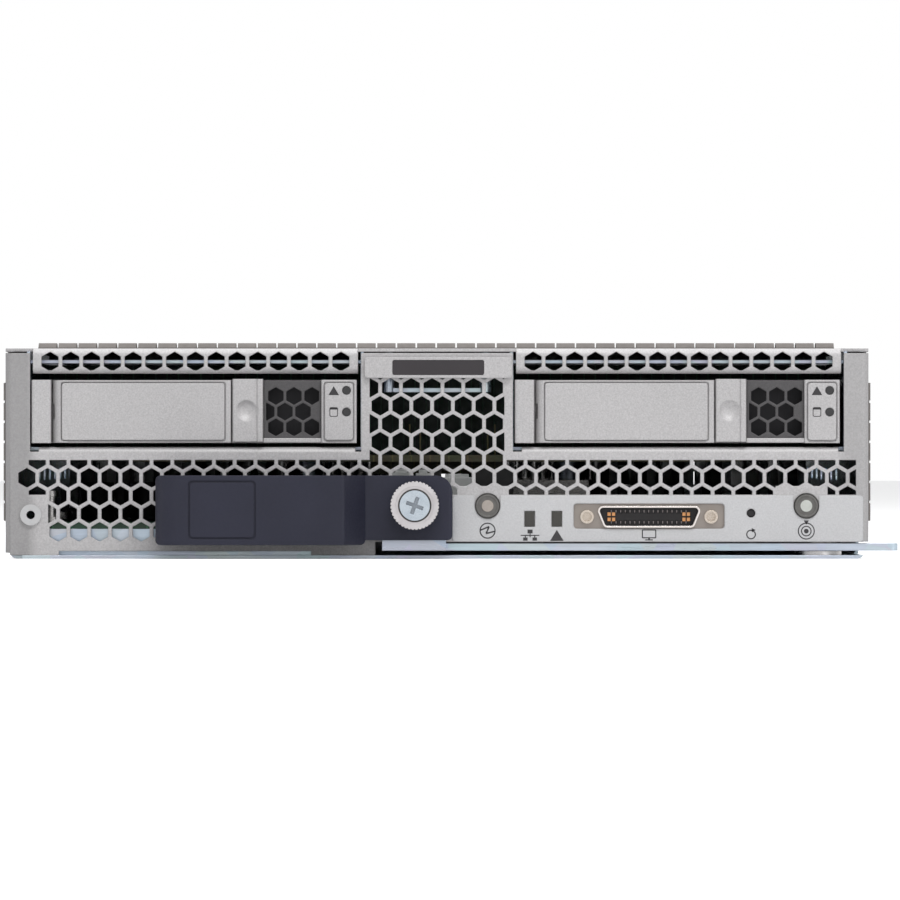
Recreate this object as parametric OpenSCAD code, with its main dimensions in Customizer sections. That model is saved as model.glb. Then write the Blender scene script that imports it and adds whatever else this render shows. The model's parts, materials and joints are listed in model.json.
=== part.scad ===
// Half-width blade server: a shallow sheet-metal tray that slides into a chassis,
// with two hot-plug drives, a cam lever with a captive thumbscrew, a console port
// and a two-processor board. +Z is up, the front faces -Y, and the origin is at
// the centre of the tray's underside.

/* [Enclosure] */
// Width over the front panel and the cover
body_w = 203.2; // [202:0.2:208]
// Depth from the panel's face to the rear edge
body_l = 605; // [600:1:640]
// Height over the cover, without the spring fingers
body_h = 49.5; // [49:0.1:53]
// Thickness of the tray, cage and cover sheet
sheet_t = 0.8; // [0.6:0.1:1.0]
// Thickness of the painted front panel
panel_t = 1.0; // [0.8:0.1:1.2]
// Outside radius of a sheet bend
bend_r = 1.6; // [1.3:0.1:2.2]
// Gap between sheets that slide on each other
slide_gap = 0.3; // [0.25:0.05:0.5]
// Length of the panel's side returns
return_l = 14; // [10:0.5:20]
// Length of the fixed plate over the drives
top_plate_l = 138; // [134:1:142]
// Depth of the cover's and the top plate's side flanges
flange_h = 9; // [6:0.5:14]
// Place of the top plate's corner screws, from its edges
plate_screw_in = 8; // [6:0.5:12]
// Travel that unlocks the top cover
cover_travel = 13; // [10:0.5:16]
// Number of air slots in each wall of the tray
wall_slot_count = 8; // [1:1:12]
// Length of an air slot
wall_slot_l = 14; // [8:1:20]
// Length of a cover lug that hooks into the tray's wall
lug_l = 5; // [3:0.5:8]
// Height of a cover lug
lug_h = 1.6; // [1:0.1:3]
// Width of the panel's columns beside the bays
column_w = 5.85; // [5.5:0.05:6.2]
// Number of contact fingers along the top
finger_count = 40; // [20:1:44]
// Plain edge at each end of the top fingers
finger_inset = 7.7; // [6:0.1:12]
// Length of a contact finger
finger_l = 8; // [6:0.5:10]
// Rise of the top fingers over the cover
finger_rise = 1.3; // [0.8:0.05:1.6]
// Rise of the side fingers
side_finger_rise = 0.65; // [0.4:0.05:0.9]
// Height of the lowest side finger
side_finger_z = 8.9; // [7:0.1:12]

/* [Grilles] */
// Across flats of the hexagonal vents
hex_flat = 4.0; // [3.4:0.05:4.2]
// Web between two vents
hex_web = 0.89; // [0.7:0.01:1.4]
// Height of the lowest row of vents
hex_row_z = 6.33; // [6.2:0.05:7]
// Place of the first vent of an even row, from the left edge
hex_first = 7.53; // [7:0.05:9]
// Lower edge of the wide band of vents
band_z = 15.05; // [14.9:0.05:16]
// Height of the wide band of vents
band_h = 8.15; // [7:0.05:8.6]
// Plain metal left at each end of the wide band
band_margin = 3.0; // [2.5:0.1:5]
// Left edge of the low field of vents, from the left side
low_field_x = 10.1; // [9.5:0.1:14]
// Plain metal between the low field of vents and the lever's tongue
low_field_gap = 8.6; // [6:0.1:20]
// Plain border beside the vents between the bays
centre_margin = 2.1; // [1.5:0.1:4]
// Height of the vented header over a bay
header_h = 5.94; // [5.6:0.02:6.2]
// Height of the header's row of vents below the top
header_row = 3.1; // [3:0.05:3.3]
// Least plain metal over both ends of a header
header_plain = 2; // [1.8:0.1:5]

/* [Drives] */
// Width of a drive's front
drive_w = 76.5; // [75:0.1:76.8]
// Height of a drive's front
drive_h = 14.9; // [14.7:0.1:15.5]
// Length of a drive's carrier rails
rail_l = 118; // [115:0.5:119]
// Thickness of a carrier rail
rail_t = 1.2; // [0.8:0.1:2]
// Space between the disk and each side of the drive's front
disk_side_gap = 3.325; // [3:0.005:4]
// Length of the disk
disk_l = 100.5; // [98:0.5:101]
// Height of the disk
disk_h = 14.8; // [9.5:0.1:14.8]
// Gap between the disk and the bezel's back plate
disk_back_gap = 6; // [4:0.5:8]
// Space on each side of a drive in its bay
bay_side_gap = 0.65; // [0.6:0.01:0.9]
// How far both drives lean to the left in their bays
drive_lean = 0.3; // [0:0.05:0.3]
// Space under a drive in its bay
bay_floor_gap = 0.9; // [0.5:0.05:1]
// Space over a drive in its bay
bay_top_gap = 1.46; // [1.2:0.02:1.8]
// How far the drive fronts stand out of the panel
drive_proud = 0.5; // [0.3:0.1:2]
// Width of the hinge block at a drive's left end
hinge_block_w = 4.6; // [4:0.1:6]
// Gap between the lever and the parts beside it
drive_part_gap = 0.35; // [0.3:0.05:0.5]
// Width of a drive's light panel
light_panel_w = 8.35; // [7.5:0.05:10]
// Thickness of a drive's swinging lever
drive_lever_t = 4.4; // [4:0.1:4.8]
// Radius of the lever's rounded hinge end
knuckle_r = 2.6; // [2.4:0.1:2.8]
// Radius of the lever's hinge pin
drive_pin_r = 0.8; // [0.6:0.05:1]
// Width of a drive's release button
drive_button_w = 7.3; // [6.5:0.1:7.6]
// Travel of a drive's release button
drive_button_travel = 1.2; // [0.8:0.1:1.4]
// Width of a drive's vent window
drive_window_w = 13.6; // [12:0.1:14.5]
// Across flats of the vents in a drive's window
drive_hex_flat = 3.6; // [3:0.05:3.7]
// Radius of a drive's status lights
drive_light_r = 1.05; // [0.8:0.05:1.3]
// Width of the groove round a drive's raised fields
field_groove = 0.25; // [0.2:0.05:0.4]

/* [Lever and handle] */
// Gap between the tray's floor and the cam lever
lever_lift = 1.1; // [0.8:0.05:1.3]
// Thickness of the cam lever
lever_t = 1.7; // [1.4:0.05:1.9]
// Gap between the lever and the panel's lower edge
lever_clear = 0.35; // [0.3:0.05:0.6]
// Pivot's distance from the right side
pivot_in = 11.6; // [10:0.1:16]
// Pivot's distance behind the panel's face
pivot_back = 9; // [8:0.1:11]
// Radius of the lever's pivot
pivot_r = 3; // [2:0.1:4]
// Width of the lever's bar
lever_bar_w = 15; // [13:0.5:15]
// How far the cam's tip stands out of the right side
cam_reach = 6.9; // [4:0.1:9]
// Left end of the lever's tongue, from the right side
tongue_in = 114.5; // [113:0.1:115]
// Width of the lever's tongue
tongue_w = 15; // [13:0.5:17]
// Gap between the lever's upright plate and the panel
stand_off = 0.8; // [0.6:0.05:1.4]
// Left end of the handle, from the left side
handle_left_in = 35.6; // [30:0.1:42]
// Right end of the handle, from the right side
handle_right_in = 97.95; // [97.9:0.05:98.6]
// Lower edge of the handle
handle_z0 = 3.3; // [3:0.1:4]
// Height of the handle
handle_h = 16.3; // [15:0.1:17]
// How far the grip stands out of the panel
grip_proud = 15; // [13:0.5:20]
// Width of the handle beside the grip's raised face
seat_w = 25.45; // [24:0.05:27]
// Length of the slope between the grip and the screw seat
grip_slope = 5; // [3:0.1:6]
// How far the screw seat stands out of the panel
seat_proud = 7; // [6:0.1:8]
// Wall of the hollow handle
handle_wall = 2.4; // [1.8:0.1:3]
// Radius of the grip's rounded left end
grip_r = 5; // [3:0.1:7]
// Thumbscrew's place from the handle's right end
screw_in = 8.85; // [8:0.05:9.6]
// Height of the thumbscrew's axis
screw_z = 12.57; // [12:0.05:13]
// Radius of the thumbscrew's knob
knob_r = 5.7; // [5:0.1:6]
// Length of the knob
knob_l = 7; // [5:0.1:9]
// Radius of the thumbscrew's shank
shank_r = 1.75; // [1.5:0.05:2]
// Looseness of the shank in its nut, which lets the lever swing it out
nut_clear = 0.6; // [0.5:0.05:0.8]

/* [Controls] */
// Power button's place from the right side
power_in = 89.7; // [88.6:0.1:90.6]
// Locator button's place from the right side
locator_in = 14.7; // [14:0.1:18]
// Height of the buttons' axes
button_z = 12.42; // [12:0.02:12.5]
// Radius of the buttons
button_r = 2.7; // [2.2:0.1:2.8]
// Radius of the lens in a button's middle
button_lens_r = 1.4; // [1:0.1:1.8]
// Travel of the buttons
button_travel = 1; // [0.5:0.1:1.2]
// How far the buttons stand out of the panel
button_proud = 0.8; // [0.5:0.1:1.5]
// Middle of the two status windows, from the right side
status_in = 76.6; // [76.2:0.1:77.6]
// Spacing of the two status windows
status_pitch = 6.4; // [5:0.1:7]
// Height of the status windows' middle
status_z = 9.37; // [9:0.05:11]
// Width of a status window
status_w = 2.24; // [1.8:0.02:3]
// Height of a status window
status_h = 3.46; // [2.6:0.02:4]
// Reset hole's place from the right side
reset_in = 27.7; // [24:0.1:29.6]
// Height of the reset hole
reset_z = 10.7; // [9.5:0.1:12]
// Radius of the reset hole
reset_r = 1; // [0.8:0.05:1.3]
// Thickness of the printed overlay
overlay_t = 0.25; // [0.2:0.05:0.35]

/* [Console port] */
// Middle of the console port, from the right side
console_in = 51.7; // [50.6:0.1:53.6]
// Height of the port's middle
console_z = 9.85; // [9.7:0.05:10.3]
// Width of the D-shaped shell at its wide side
shell_w = 24; // [22:0.1:25]
// Height of the D-shaped shell
shell_h = 5.1; // [5:0.05:5.6]
// Wall of the shell
shell_wall = 0.4; // [0.3:0.05:0.45]
// How far the shell stands out of the panel
shell_proud = 0.8; // [0.5:0.1:1.5]
// Clear depth in front of the port's contact block
mouth_depth = 4.6; // [4.4:0.1:4.7]
// Pitch of the port's contacts
contact_pitch = 1.1; // [0.8:0.05:1.15]
// Spacing of the two jack posts
jack_pitch = 29.2; // [28.6:0.1:30]
// Outside radius of a jack post
jack_r = 1.6; // [1.5:0.05:1.9]
// Radius of a jack post's thread
jack_thread_r = 1.1; // [0.9:0.05:1.2]
// Depth of a jack post's thread
jack_depth = 5; // [4:0.1:6]

/* [Asset tag] */
// Space between the tag's front and each bay
tag_side_gap = 0.6; // [0.4:0.1:1.5]
// Height of the tag's front
tag_h = 5; // [4.5:0.05:5.2]
// Length of the tag's card that stays in when it is pulled out
tag_kept = 17; // [12:1:30]
// Thickness of the tag's card
tag_card_t = 1.2; // [0.8:0.1:1.4]
// Part of the tag's width that its card takes
tag_card_share = 0.56; // [0.4:0.01:0.6]
// Travel of the tag
tag_travel = 45; // [30:1:50]
// Radius of the posts that guide the tag's card
tag_post_r = 1.4; // [0.8:0.1:1.6]

/* [Board and memory] */
// Height of the standoffs under the board
standoff_h = 6.2; // [6:0.1:6.8]
// Thickness of the circuit boards
board_t = 1.57; // [1.2:0.01:1.8]
// Gap between the board and the tray's walls
board_side_gap = 1.2; // [0.6:0.1:3]
// Width of a processor heatsink
sink_w = 78; // [74:0.5:79]
// Length of a processor heatsink
sink_l = 108; // [90:1:120]
// Height of a heatsink's top over the board
sink_h = 35; // [28:0.5:37]
// Thickness of a heatsink's base
sink_base_t = 4.5; // [3:0.1:6]
// Pitch of the heatsink fins
fin_pitch = 2.4; // [2:0.1:4]
// Thickness of a heatsink fin
fin_t = 0.5; // [0.3:0.05:0.8]
// Height of a processor socket's frame
socket_frame_h = 5; // [4:0.1:6]
// Width of the processor in its socket
cpu_w = 50; // [44:0.5:60]
// Length of the processor in its socket
cpu_l = 66; // [56:0.5:76]
// Heatsink screws' place from the heatsink's edges
sink_screw_in = 6; // [5:0.5:8]
// Radius of a heatsink screw
sink_screw_r = 2; // [1.5:0.1:2.5]
// Gap between the sockets of the two processors' memory
zone_gap = 16; // [14:0.5:18]
// Number of memory sockets on each side of a processor
dimm_count = 6; // [2:1:6]
// From the outermost memory socket to the board's edge
dimm_margin = 4.4; // [3:0.1:8]
// Width of a memory socket
dimm_socket_w = 6.5; // [5.5:0.1:7]
// How much longer a memory socket is than its module
dimm_socket_over = 8.65; // [8:0.05:10]
// Height of a memory socket's body
dimm_socket_h = 7.5; // [6:0.1:9]
// Length of a memory module
dimm_l = 133.35; // [130:0.05:134]
// Height of a memory module
dimm_h = 31.25; // [28:0.05:32]
// Thickness of a memory module's board
dimm_t = 1.27; // [1:0.01:1.4]
// How far a module stands down in its socket, over the board
dimm_seat = 2.6; // [2:0.1:4]
// Width of the storage board
storage_w = 144; // [130:1:150]
// Distance of the storage board behind the panel's face
storage_in = 12; // [9.8:0.1:16]
// Screws' place from the board's sides
board_screw_in = 5; // [4:0.5:7]
// Side of a choke
choke_w = 9; // [6:0.5:10]
// Radius of a capacitor
capacitor_r = 4; // [2.5:0.5:5]
// Height of a capacitor
capacitor_h = 9; // [6:0.5:12]

/* [Rear connectors] */
// Gap between the memory and the rear adapter cards
card_gap = 3; // [2:0.5:10]
// From an adapter card's outer edge to the board's edge
card_margin = 10.5; // [8:0.5:20]
// Height of the adapter cards over the board
card_lift = 11; // [8:0.5:14]
// Width of the signal connector
signal_w = 58; // [50:0.5:64]
// Height of the signal connector
signal_h = 24; // [20:0.5:28]
// Width of the power connector
power_w = 46; // [40:0.5:50]
// Height of the power connector
power_h = 14; // [12:0.5:18]
// Depth of the rear connectors
rear_conn_l = 22; // [18:0.5:23]
// Depth of a rear connector's mouth
rear_mouth = 7; // [5:0.1:9]
// Pitch of the contact slots in the signal connector
signal_pitch = 3; // [2.5:0.1:5]
// Pitch of the blade slots in the power connector
power_pitch = 5; // [4:0.1:8]
// Wall of a rear connector's housing
rear_wall = 2; // [1.5:0.1:3]
// Side of a guide socket's square body
guide_w = 13; // [12:0.1:16]
// Radius of a guide socket's bore
guide_r = 4; // [3:0.05:4.5]
// Depth of a guide socket's bore
guide_depth = 16; // [10:0.5:17]

/* [Hidden] */
$fn = 48;

// Colours
paint = [0.70, 0.69, 0.68];
zinc = [0.75, 0.80, 0.84];
spring_steel = [0.55, 0.52, 0.48];
dark_plastic = [0.24, 0.25, 0.30];
black_plastic = [0.08, 0.08, 0.09];
clear_plastic = [0.85, 0.88, 0.86];
board_green = [0.10, 0.24, 0.16];
alloy = [0.78, 0.79, 0.80];

// Enclosure
half_w = body_w / 2;
front_y = -body_l / 2;
rear_y = body_l / 2;
tray_half = half_w - panel_t - 0.1;
tray_in = tray_half - sheet_t;
wall_top = body_h - sheet_t - slide_gap;
split_y = front_y + top_plate_l;
flange_z = body_h - flange_h;
lug_z = flange_z + 2;
wall_slot_y = split_y + 14;
wall_slot_pitch = (rear_y - split_y - 40) / 12;
finger_pitch = (body_w - 2 * finger_inset) / finger_count;
finger_y = 6.5;

// Lever
handle_x0 = -half_w + handle_left_in;
handle_x1 = half_w - handle_right_in;
grip_x1 = handle_x1 - seat_w;
tongue_x0 = half_w - tongue_in;
screw_x = handle_x1 - screw_in;
lever_z = sheet_t + lever_lift;
lever_top = lever_z + lever_t;
slot_top = lever_top + lever_clear;
slot_x0 = tongue_x0 - 1.6;
slit_x1 = tongue_x0 - 16.7;
pivot_x = half_w - pivot_in;
pivot_y = front_y + pivot_back;
upright_y = front_y - stand_off - lever_t;
seat_y = front_y - seat_proud;
grip_y = front_y - grip_proud;

// Controls and the console port
power_x = half_w - power_in;
locator_x = half_w - locator_in;
status_x = half_w - status_in;
reset_x = half_w - reset_in;
console_x = half_w - console_in;
rivet_x = -half_w + 6;
rivet_z = 10.3;

// Bays and drives
bay_w = drive_w + 2 * bay_side_gap;
bay_top = body_h - header_h;
bay_z = bay_top - bay_top_gap - drive_h - bay_floor_gap;
drive_z = bay_z + bay_floor_gap;
centre_w = body_w - 2 * column_w - 2 * bay_w;
bay_x = centre_w / 2 + bay_w / 2;
header_w = bay_w - 1.3;
hex_pitch = hex_flat + hex_web;
header_count = floor((header_w - header_plain) / hex_pitch);
drive_y = front_y - drive_proud;
back_plate_y = 2 * knuckle_r + 0.3;
back_plate_t = 1;
disk_y = back_plate_y + back_plate_t + disk_back_gap;
disk_x = disk_side_gap;
disk_w = drive_w - 2 * disk_side_gap;
light_panel_x0 = drive_w - light_panel_w;
window_x0 = light_panel_x0 - drive_window_w;
button_x0 = window_x0 - drive_button_w;
drive_lever_x0 = hinge_block_w + drive_part_gap;
drive_lever_x1 = button_x0 - drive_part_gap;
pin_x = drive_lever_x0 + knuckle_r;
light_x = drive_w - 2.4;
light_z = [drive_h / 2 - 0.15, drive_h - 2.5];

// Asset tag
tag_w = centre_w - 2 * tag_side_gap;
tag_card_w = tag_w * tag_card_share;
tag_l = tag_travel + tag_kept;
tag_z = body_h - 4.5;
shelf_z = body_h - header_row - sheet_t / 2;

// Boards
board_z = sheet_t + standoff_h;
board_top = board_z + board_t;
board_y0 = front_y + 3;
board_y1 = rear_y - 9;
board_half = tray_in - board_side_gap;
dimm_socket_l = dimm_l + dimm_socket_over;
cpu_zone_l = dimm_socket_l + zone_gap;
cpu_zone_y = split_y + 5;
cpu_y = [cpu_zone_y + cpu_zone_l / 2, cpu_zone_y + 1.5 * cpu_zone_l];
dimm_x0 = sink_w / 2 + 1.6 + dimm_socket_w / 2;
dimm_pitch = (board_half - dimm_margin - dimm_socket_w / 2 - dimm_x0) / (dimm_count - 1);
sink_z = board_top + socket_frame_h;
storage_z = bay_z - sheet_t - 1.1 - board_t;
control_y = front_y + 8;
hub_y = front_y + 60;
backplane_y = drive_y + rail_l + 1.1;
card_y0 = cpu_zone_y + 2 * cpu_zone_l + card_gap;
card_l = board_y1 - rear_conn_l - 2 - card_y0;
card_x0 = 4;
card_w = board_half - card_margin - card_x0;
guide_x = board_half - guide_w / 2 - 3;
rear_conn_x = (guide_x - guide_w / 2) / 2;

// Helpers: an outline in the XZ plane given a thickness behind y, one in the
// YZ plane run along +X, and one in the XY plane raised from z
module plate_xz(y, t) {
  translate([0, y + t, 0])
    rotate([90, 0, 0])
      linear_extrude(t) children();
}

module run_x(x, w) {
  translate([x, 0, 0])
    rotate([90, 0, 90])
      linear_extrude(w) children();
}

module raise(z, h) {
  translate([0, 0, z]) linear_extrude(h) children();
}

// A cylinder along +Y from the point [x, y, z]
module rod_y(x, y, z, r, l) {
  translate([x, y, z]) rotate([-90, 0, 0]) cylinder(r = r, h = l);
}

module box(x0, x1, y0, y1, z0, z1) {
  translate([x0, y0, z0]) cube([x1 - x0, y1 - y0, z1 - z0]);
}

module rect(x0, x1, y0, y1) {
  translate([x0, y0]) square([x1 - x0, y1 - y0]);
}

module round_rect(x0, x1, y0, y1, r) {
  offset(r = r, $fn = 24) rect(x0 + r, x1 - r, y0 + r, y1 - r);
}

// One hexagonal vent with a corner up
module hex(flat) {
  rotate(90) circle(r = flat / sqrt(3), $fn = 6);
}

// Every vent of the panel's pattern whose centre lies in the given field
module hex_field(x0, x1, z0, z1) {
  pitch = hex_pitch;
  row = pitch * sqrt(3) / 2;
  for (k = [0:10]) {
    z = hex_row_z + k * row;
    shift = (k % 2 == 0) ? 0 : -pitch / 2;
    if (z > z0 && z < z1)
      for (i = [0:42]) {
        x = -half_w + hex_first + shift + i * pitch;
        if (x > x0 && x < x1) translate([x, z]) hex(hex_flat);
      }
  }
}

// A field of vents cut off along its border
module vent_window(x0, x1, z0, z1) {
  reach = hex_flat * 0.55;
  intersection() {
    rect(x0, x1, z0, z1);
    hex_field(x0 - reach, x1 + reach, z0 - reach, z1 + reach);
  }
}

// ---- Enclosure -------------------------------------------------------------

// The outline of the tray seen from the front: a floor and two walls
module tray_outline() {
  difference() {
    round_rect(-tray_half, tray_half, 0, 2 * body_h, bend_r);
    round_rect(-tray_in, tray_in, sheet_t, 2 * body_h, bend_r - sheet_t);
    rect(-body_w, body_w, wall_top, 3 * body_h);
  }
}

// The front ends of the cover's three lugs on each side
function lug_places() = [for (i = [0:2]) split_y + 50 + i * (rear_y - split_y - 90) / 2];

module base_tray() {
  wall_y = front_y + bend_r + 0.2;
  lip_y = board_y0;
  color(zinc) {
    difference() {
      plate_xz(front_y, body_l) tray_outline();
      // the walls start behind the front panel
      box(-body_w, body_w, front_y - 1, wall_y, sheet_t, 2 * body_h);
      // room for the cam's tip to swing back through the right wall
      box(tray_in - bend_r, body_w, front_y - 1, front_y + 34, sheet_t, slot_top);
      // the left front corner is relieved beside the slit
      box(-body_w, -half_w + 4, front_y - 1, wall_y, -1, body_h);
      // each slot lets a cover lug drop in and slide forward under the wall's edge
      for (y = lug_places())
        box(-body_w, body_w, y - slide_gap, y + lug_l + cover_travel + slide_gap,
          lug_z - slide_gap, lug_z + lug_h + slide_gap);
      for (y = lug_places())
        box(-body_w, body_w, y + cover_travel - slide_gap, y + lug_l + cover_travel + slide_gap,
          lug_z, body_h);
      // oval air slots through both walls beside the memory
      for (i = [0:wall_slot_count - 1])
        run_x(-body_w, 2 * body_w)
          round_rect(wall_slot_y + i * wall_slot_pitch,
            wall_slot_y + i * wall_slot_pitch + wall_slot_l, 18, 21, 1.4);
      // the rear of each wall is notched to clear the chassis backplane
      for (side = [-1, 1])
        translate([side * tray_half, rear_y, wall_top])
          cube([4, 24, 20], center = true);
    }
    // the upright lip that the board's front edge rests on
    box(-tray_in, slot_x0 - 4, lip_y, lip_y + sheet_t, sheet_t, board_z);
  }
}

// The panel's face as seen from the front, without its vents
module panel_face() {
  centre_half = centre_w / 2 - 0.1;
  top = body_h - 1.1;
  low_x = half_w - bend_r;
  lip_z = bay_z - 1.1;
  round_rect(-low_x - 0.5, slot_x0, sheet_t, lip_z, 0.4);
  rect(-low_x, low_x, slot_top, lip_z);
  for (side = [-1, 1])
    translate([side * bay_x, 0])
      rect(-bay_w / 2 + 2, bay_w / 2 - 1.3, bay_z - 4, bay_z - bend_r);
  round_rect(-centre_half, centre_half, slot_top, top, 0.4);
  rect(-low_x, -half_w + column_w, sheet_t, top);
  rect(half_w - column_w, low_x, slot_top, top);
}

// A rolled edge that turns from the face back over a bay's floor
module rolled_edge(length) {
  difference() {
    offset(r = bend_r, $fn = 24) rect(bend_r, length, -20, -bend_r);
    offset(r = bend_r - panel_t, $fn = 24) rect(bend_r, 2 * length, -20, -bend_r);
    rect(-1, 2 * length, -40, -bend_r - 0.6);
    rect(length, 2 * length, -40, 1);
  }
}

// A side return: the face turns back along the enclosure's side
module side_return(z0) {
  top = body_h - 1.1;
  raise(z0, top - z0)
    difference() {
      offset(r = bend_r, $fn = 24)
        rect(-half_w + bend_r, -bend_r, front_y + bend_r, front_y + 40);
      offset(r = bend_r - panel_t, $fn = 24)
        rect(-half_w + bend_r, bend_r, front_y + bend_r, front_y + 80);
      rect(-half_w + bend_r + 0.5, body_w, front_y - 1, front_y + 90);
      rect(-body_w, body_w, front_y + return_l, front_y + 90);
    }
}

// A small cooling slit and the openings for what passes through the panel
module panel_openings() {
  rect(-half_w + 12.6, slit_x1, sheet_t - 0.1, 1.8);
  translate([screw_x, screw_z]) circle(r = shank_r + nut_clear + 0.6);
  translate([power_x, button_z]) circle(r = button_r + slide_gap);
  translate([locator_x, button_z]) circle(r = button_r + slide_gap);
  for (side = [-1, 1])
    translate([status_x + side * status_pitch / 2, status_z])
      square([status_w + 0.1, status_h + 0.1], center = true);
  console_opening(0);
  translate([reset_x, reset_z]) circle(r = reset_r);
  translate([rivet_x, rivet_z]) circle(r = 1.55);
  tag_slot();
}

module console_opening(grow) {
  half = jack_pitch / 2 + 3.1 + grow;
  round_rect(console_x - half, console_x + half,
    console_z - shell_h / 2 - 0.2 - grow, console_z + shell_h / 2 + 0.5 + grow, 0.8);
}

module tag_slot() {
  rect(-tag_card_w / 2 - slide_gap, tag_card_w / 2 + slide_gap,
    tag_z - tag_card_t / 2 - slide_gap, tag_z + tag_card_t / 2 + slide_gap);
}

// Every vent of the panel
module panel_vents() {
  left = -half_w + band_margin;
  right = half_w - band_margin;
  difference() {
    vent_window(left, right, band_z, band_z + band_h);
    for (x = [power_x, locator_x])
      rect(x - 7.2, x + 5, band_z - 1, band_z + 2.05);
  }
  vent_window(-half_w + low_field_x, tongue_x0 - low_field_gap, 4, band_z);
  vent_window(-centre_w / 2 + centre_margin, centre_w / 2 - centre_margin,
    band_z + band_h - 0.01, body_h - 7);
}

module front_panel() {
  color(paint) {
    plate_xz(front_y, panel_t)
      difference() {
        panel_face();
        panel_vents();
        panel_openings();
      }
    side_return(1.4);
    mirror([1, 0, 0]) side_return(slot_top + 0.05);
    // the rolled lips that the drives slide in over
    for (side = [-1, 1])
      run_x(side * bay_x - bay_w / 2 + 2, bay_w - 3.3)
        translate([front_y, bay_z]) rolled_edge(8);
  }
}

// The header's section: the top plate rolls down over a bay and hems back
module header_section() {
  difference() {
    round_rect(0, 20, body_h - header_h, body_h, bend_r);
    round_rect(sheet_t, 30, body_h - header_h + sheet_t, body_h - sheet_t, bend_r - sheet_t);
    rect(4, 40, 0, body_h - sheet_t);
    rect(12, 40, 0, 2 * body_h);
  }
}

module front_top_plate() {
  color(paint) {
    difference() {
      box(-half_w, half_w, front_y, split_y, body_h - sheet_t, body_h);
      for (side = [-1, 1]) {
        translate([side * bay_x, 0])
          box(-header_w / 2, header_w / 2, front_y - 1, front_y + 6, 0, 2 * body_h);
        translate([side * (half_w - column_w / 2 + 0.3), 0])
          box(-column_w / 2 - 0.4, column_w / 2 + 1, front_y - 1, front_y + 2.2, 0, 2 * body_h);
      }
      // flush screws hold the plate to the cage and the tray
      for (x = [-half_w + plate_screw_in, -centre_w / 4, centre_w / 4, half_w - plate_screw_in])
        for (y = [front_y + 24, split_y - plate_screw_in])
          translate([x, y, body_h - sheet_t / 2]) flush_screw();
    }
    for (side = [-1, 1]) {
      difference() {
        run_x(side * bay_x - header_w / 2, header_w)
          translate([front_y, 0]) header_section();
        plate_xz(front_y - 1, 3)
          for (i = [0:header_count - 1])
            translate([side * bay_x + (i - (header_count - 1) / 2) * hex_pitch, body_h - header_row])
              hex(hex_flat);
      }
      // side flange, behind the panel's return
      x = side * (half_w - sheet_t / 2);
      box(x - sheet_t / 2, x + sheet_t / 2, front_y + return_l + 0.3, split_y,
        flange_z, body_h - sheet_t + 0.01);
    }
  }
}

// The cuts that outline a countersunk screw's head and its cross recess
module flush_screw() {
  difference() {
    cylinder(r = 2.9, h = 2);
    translate([0, 0, -1]) cylinder(r = 2.6, h = 4);
  }
  for (turn = [0, 90])
    rotate(turn) translate([-1.5, -0.3, 0]) cube([3, 0.6, 2]);
}

module latch_outline(grow) {
  w = 24 + 2 * grow;
  l = 16 + 2 * grow;
  y = split_y + 16;
  round_rect(-w / 2, w / 2, y - l / 2, y + l / 2, 3 + grow);
}

module top_cover() {
  y0 = split_y + slide_gap;
  rib_y0 = y0 + 40;
  color(paint) {
    difference() {
      plate_xz(y0, rear_y - y0)
        difference() {
          round_rect(-half_w, half_w, flange_z - 9, body_h, bend_r);
          round_rect(-half_w + sheet_t, half_w - sheet_t, 0, body_h - sheet_t, bend_r - sheet_t);
          rect(-body_w, body_w, 0, flange_z);
        }
      raise(body_h - 3, 6) latch_outline(slide_gap);
      // shallow pressed panel that stiffens the cover
      raise(body_h - sheet_t / 2, 6)
        difference() {
          round_rect(-half_w + 14, half_w - 14, rib_y0, rear_y - 16, 6);
          round_rect(-half_w + 17, half_w - 17, rib_y0 + 3, rear_y - 19, 4);
        }
    }
    // the lugs that hook under the tray's walls
    for (side = [-1, 1])
      for (y = lug_places())
        translate([side * (half_w - sheet_t - 0.4), y + lug_l / 2, lug_z + lug_h / 2])
          cube([1.2, lug_l, lug_h], center = true);
  }
}

module cover_latch() {
  under = body_h - sheet_t - slide_gap;
  color(dark_plastic) {
    difference() {
      raise(under - 1, sheet_t + slide_gap + 1.2) latch_outline(0);
      // finger dish in the button's top
      translate([0, split_y + 16, body_h + 27.4]) sphere(r = 28);
    }
    raise(under - 2.2, 2.2) latch_outline(1.6);
  }
}

// ---- Spring fingers --------------------------------------------------------

// A strip of arched contact fingers, laid along +X on the plane z = 0
module finger_strip(count, pitch, gap, rise) {
  leaf = 0.2;
  radius = (finger_l * finger_l / 4 + rise * rise) / (2 * rise);
  run_x(0, count * pitch - gap) rect(-finger_l / 2 - 0.8, finger_l / 2 + 1.6, 0, leaf);
  for (i = [0:count - 1])
    run_x(i * pitch, pitch - gap)
      intersection() {
        translate([0, rise - radius])
          difference() {
            circle(r = radius);
            circle(r = radius - leaf);
          }
        rect(-finger_l, finger_l, leaf / 2, rise + 1);
      }
}

module spring_fingers_top() {
  color(spring_steel)
    translate([-half_w + finger_inset, front_y + finger_y, body_h])
      finger_strip(finger_count, finger_pitch, 0.4, finger_rise);
}

module side_fingers() {
  count = 7;
  pitch = (body_h - 7.5 - side_finger_z) / count;
  color(spring_steel)
    translate([half_w, front_y + finger_y, side_finger_z])
      rotate([0, -90, 0])
        mirror([0, 0, 1])
          finger_strip(count, pitch, 0.6, side_finger_rise);
}

module spring_fingers_right() {
  side_fingers();
}

module spring_fingers_left() {
  mirror([1, 0, 0]) side_fingers();
}

// ---- Drive cage and asset tag ----------------------------------------------

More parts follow.
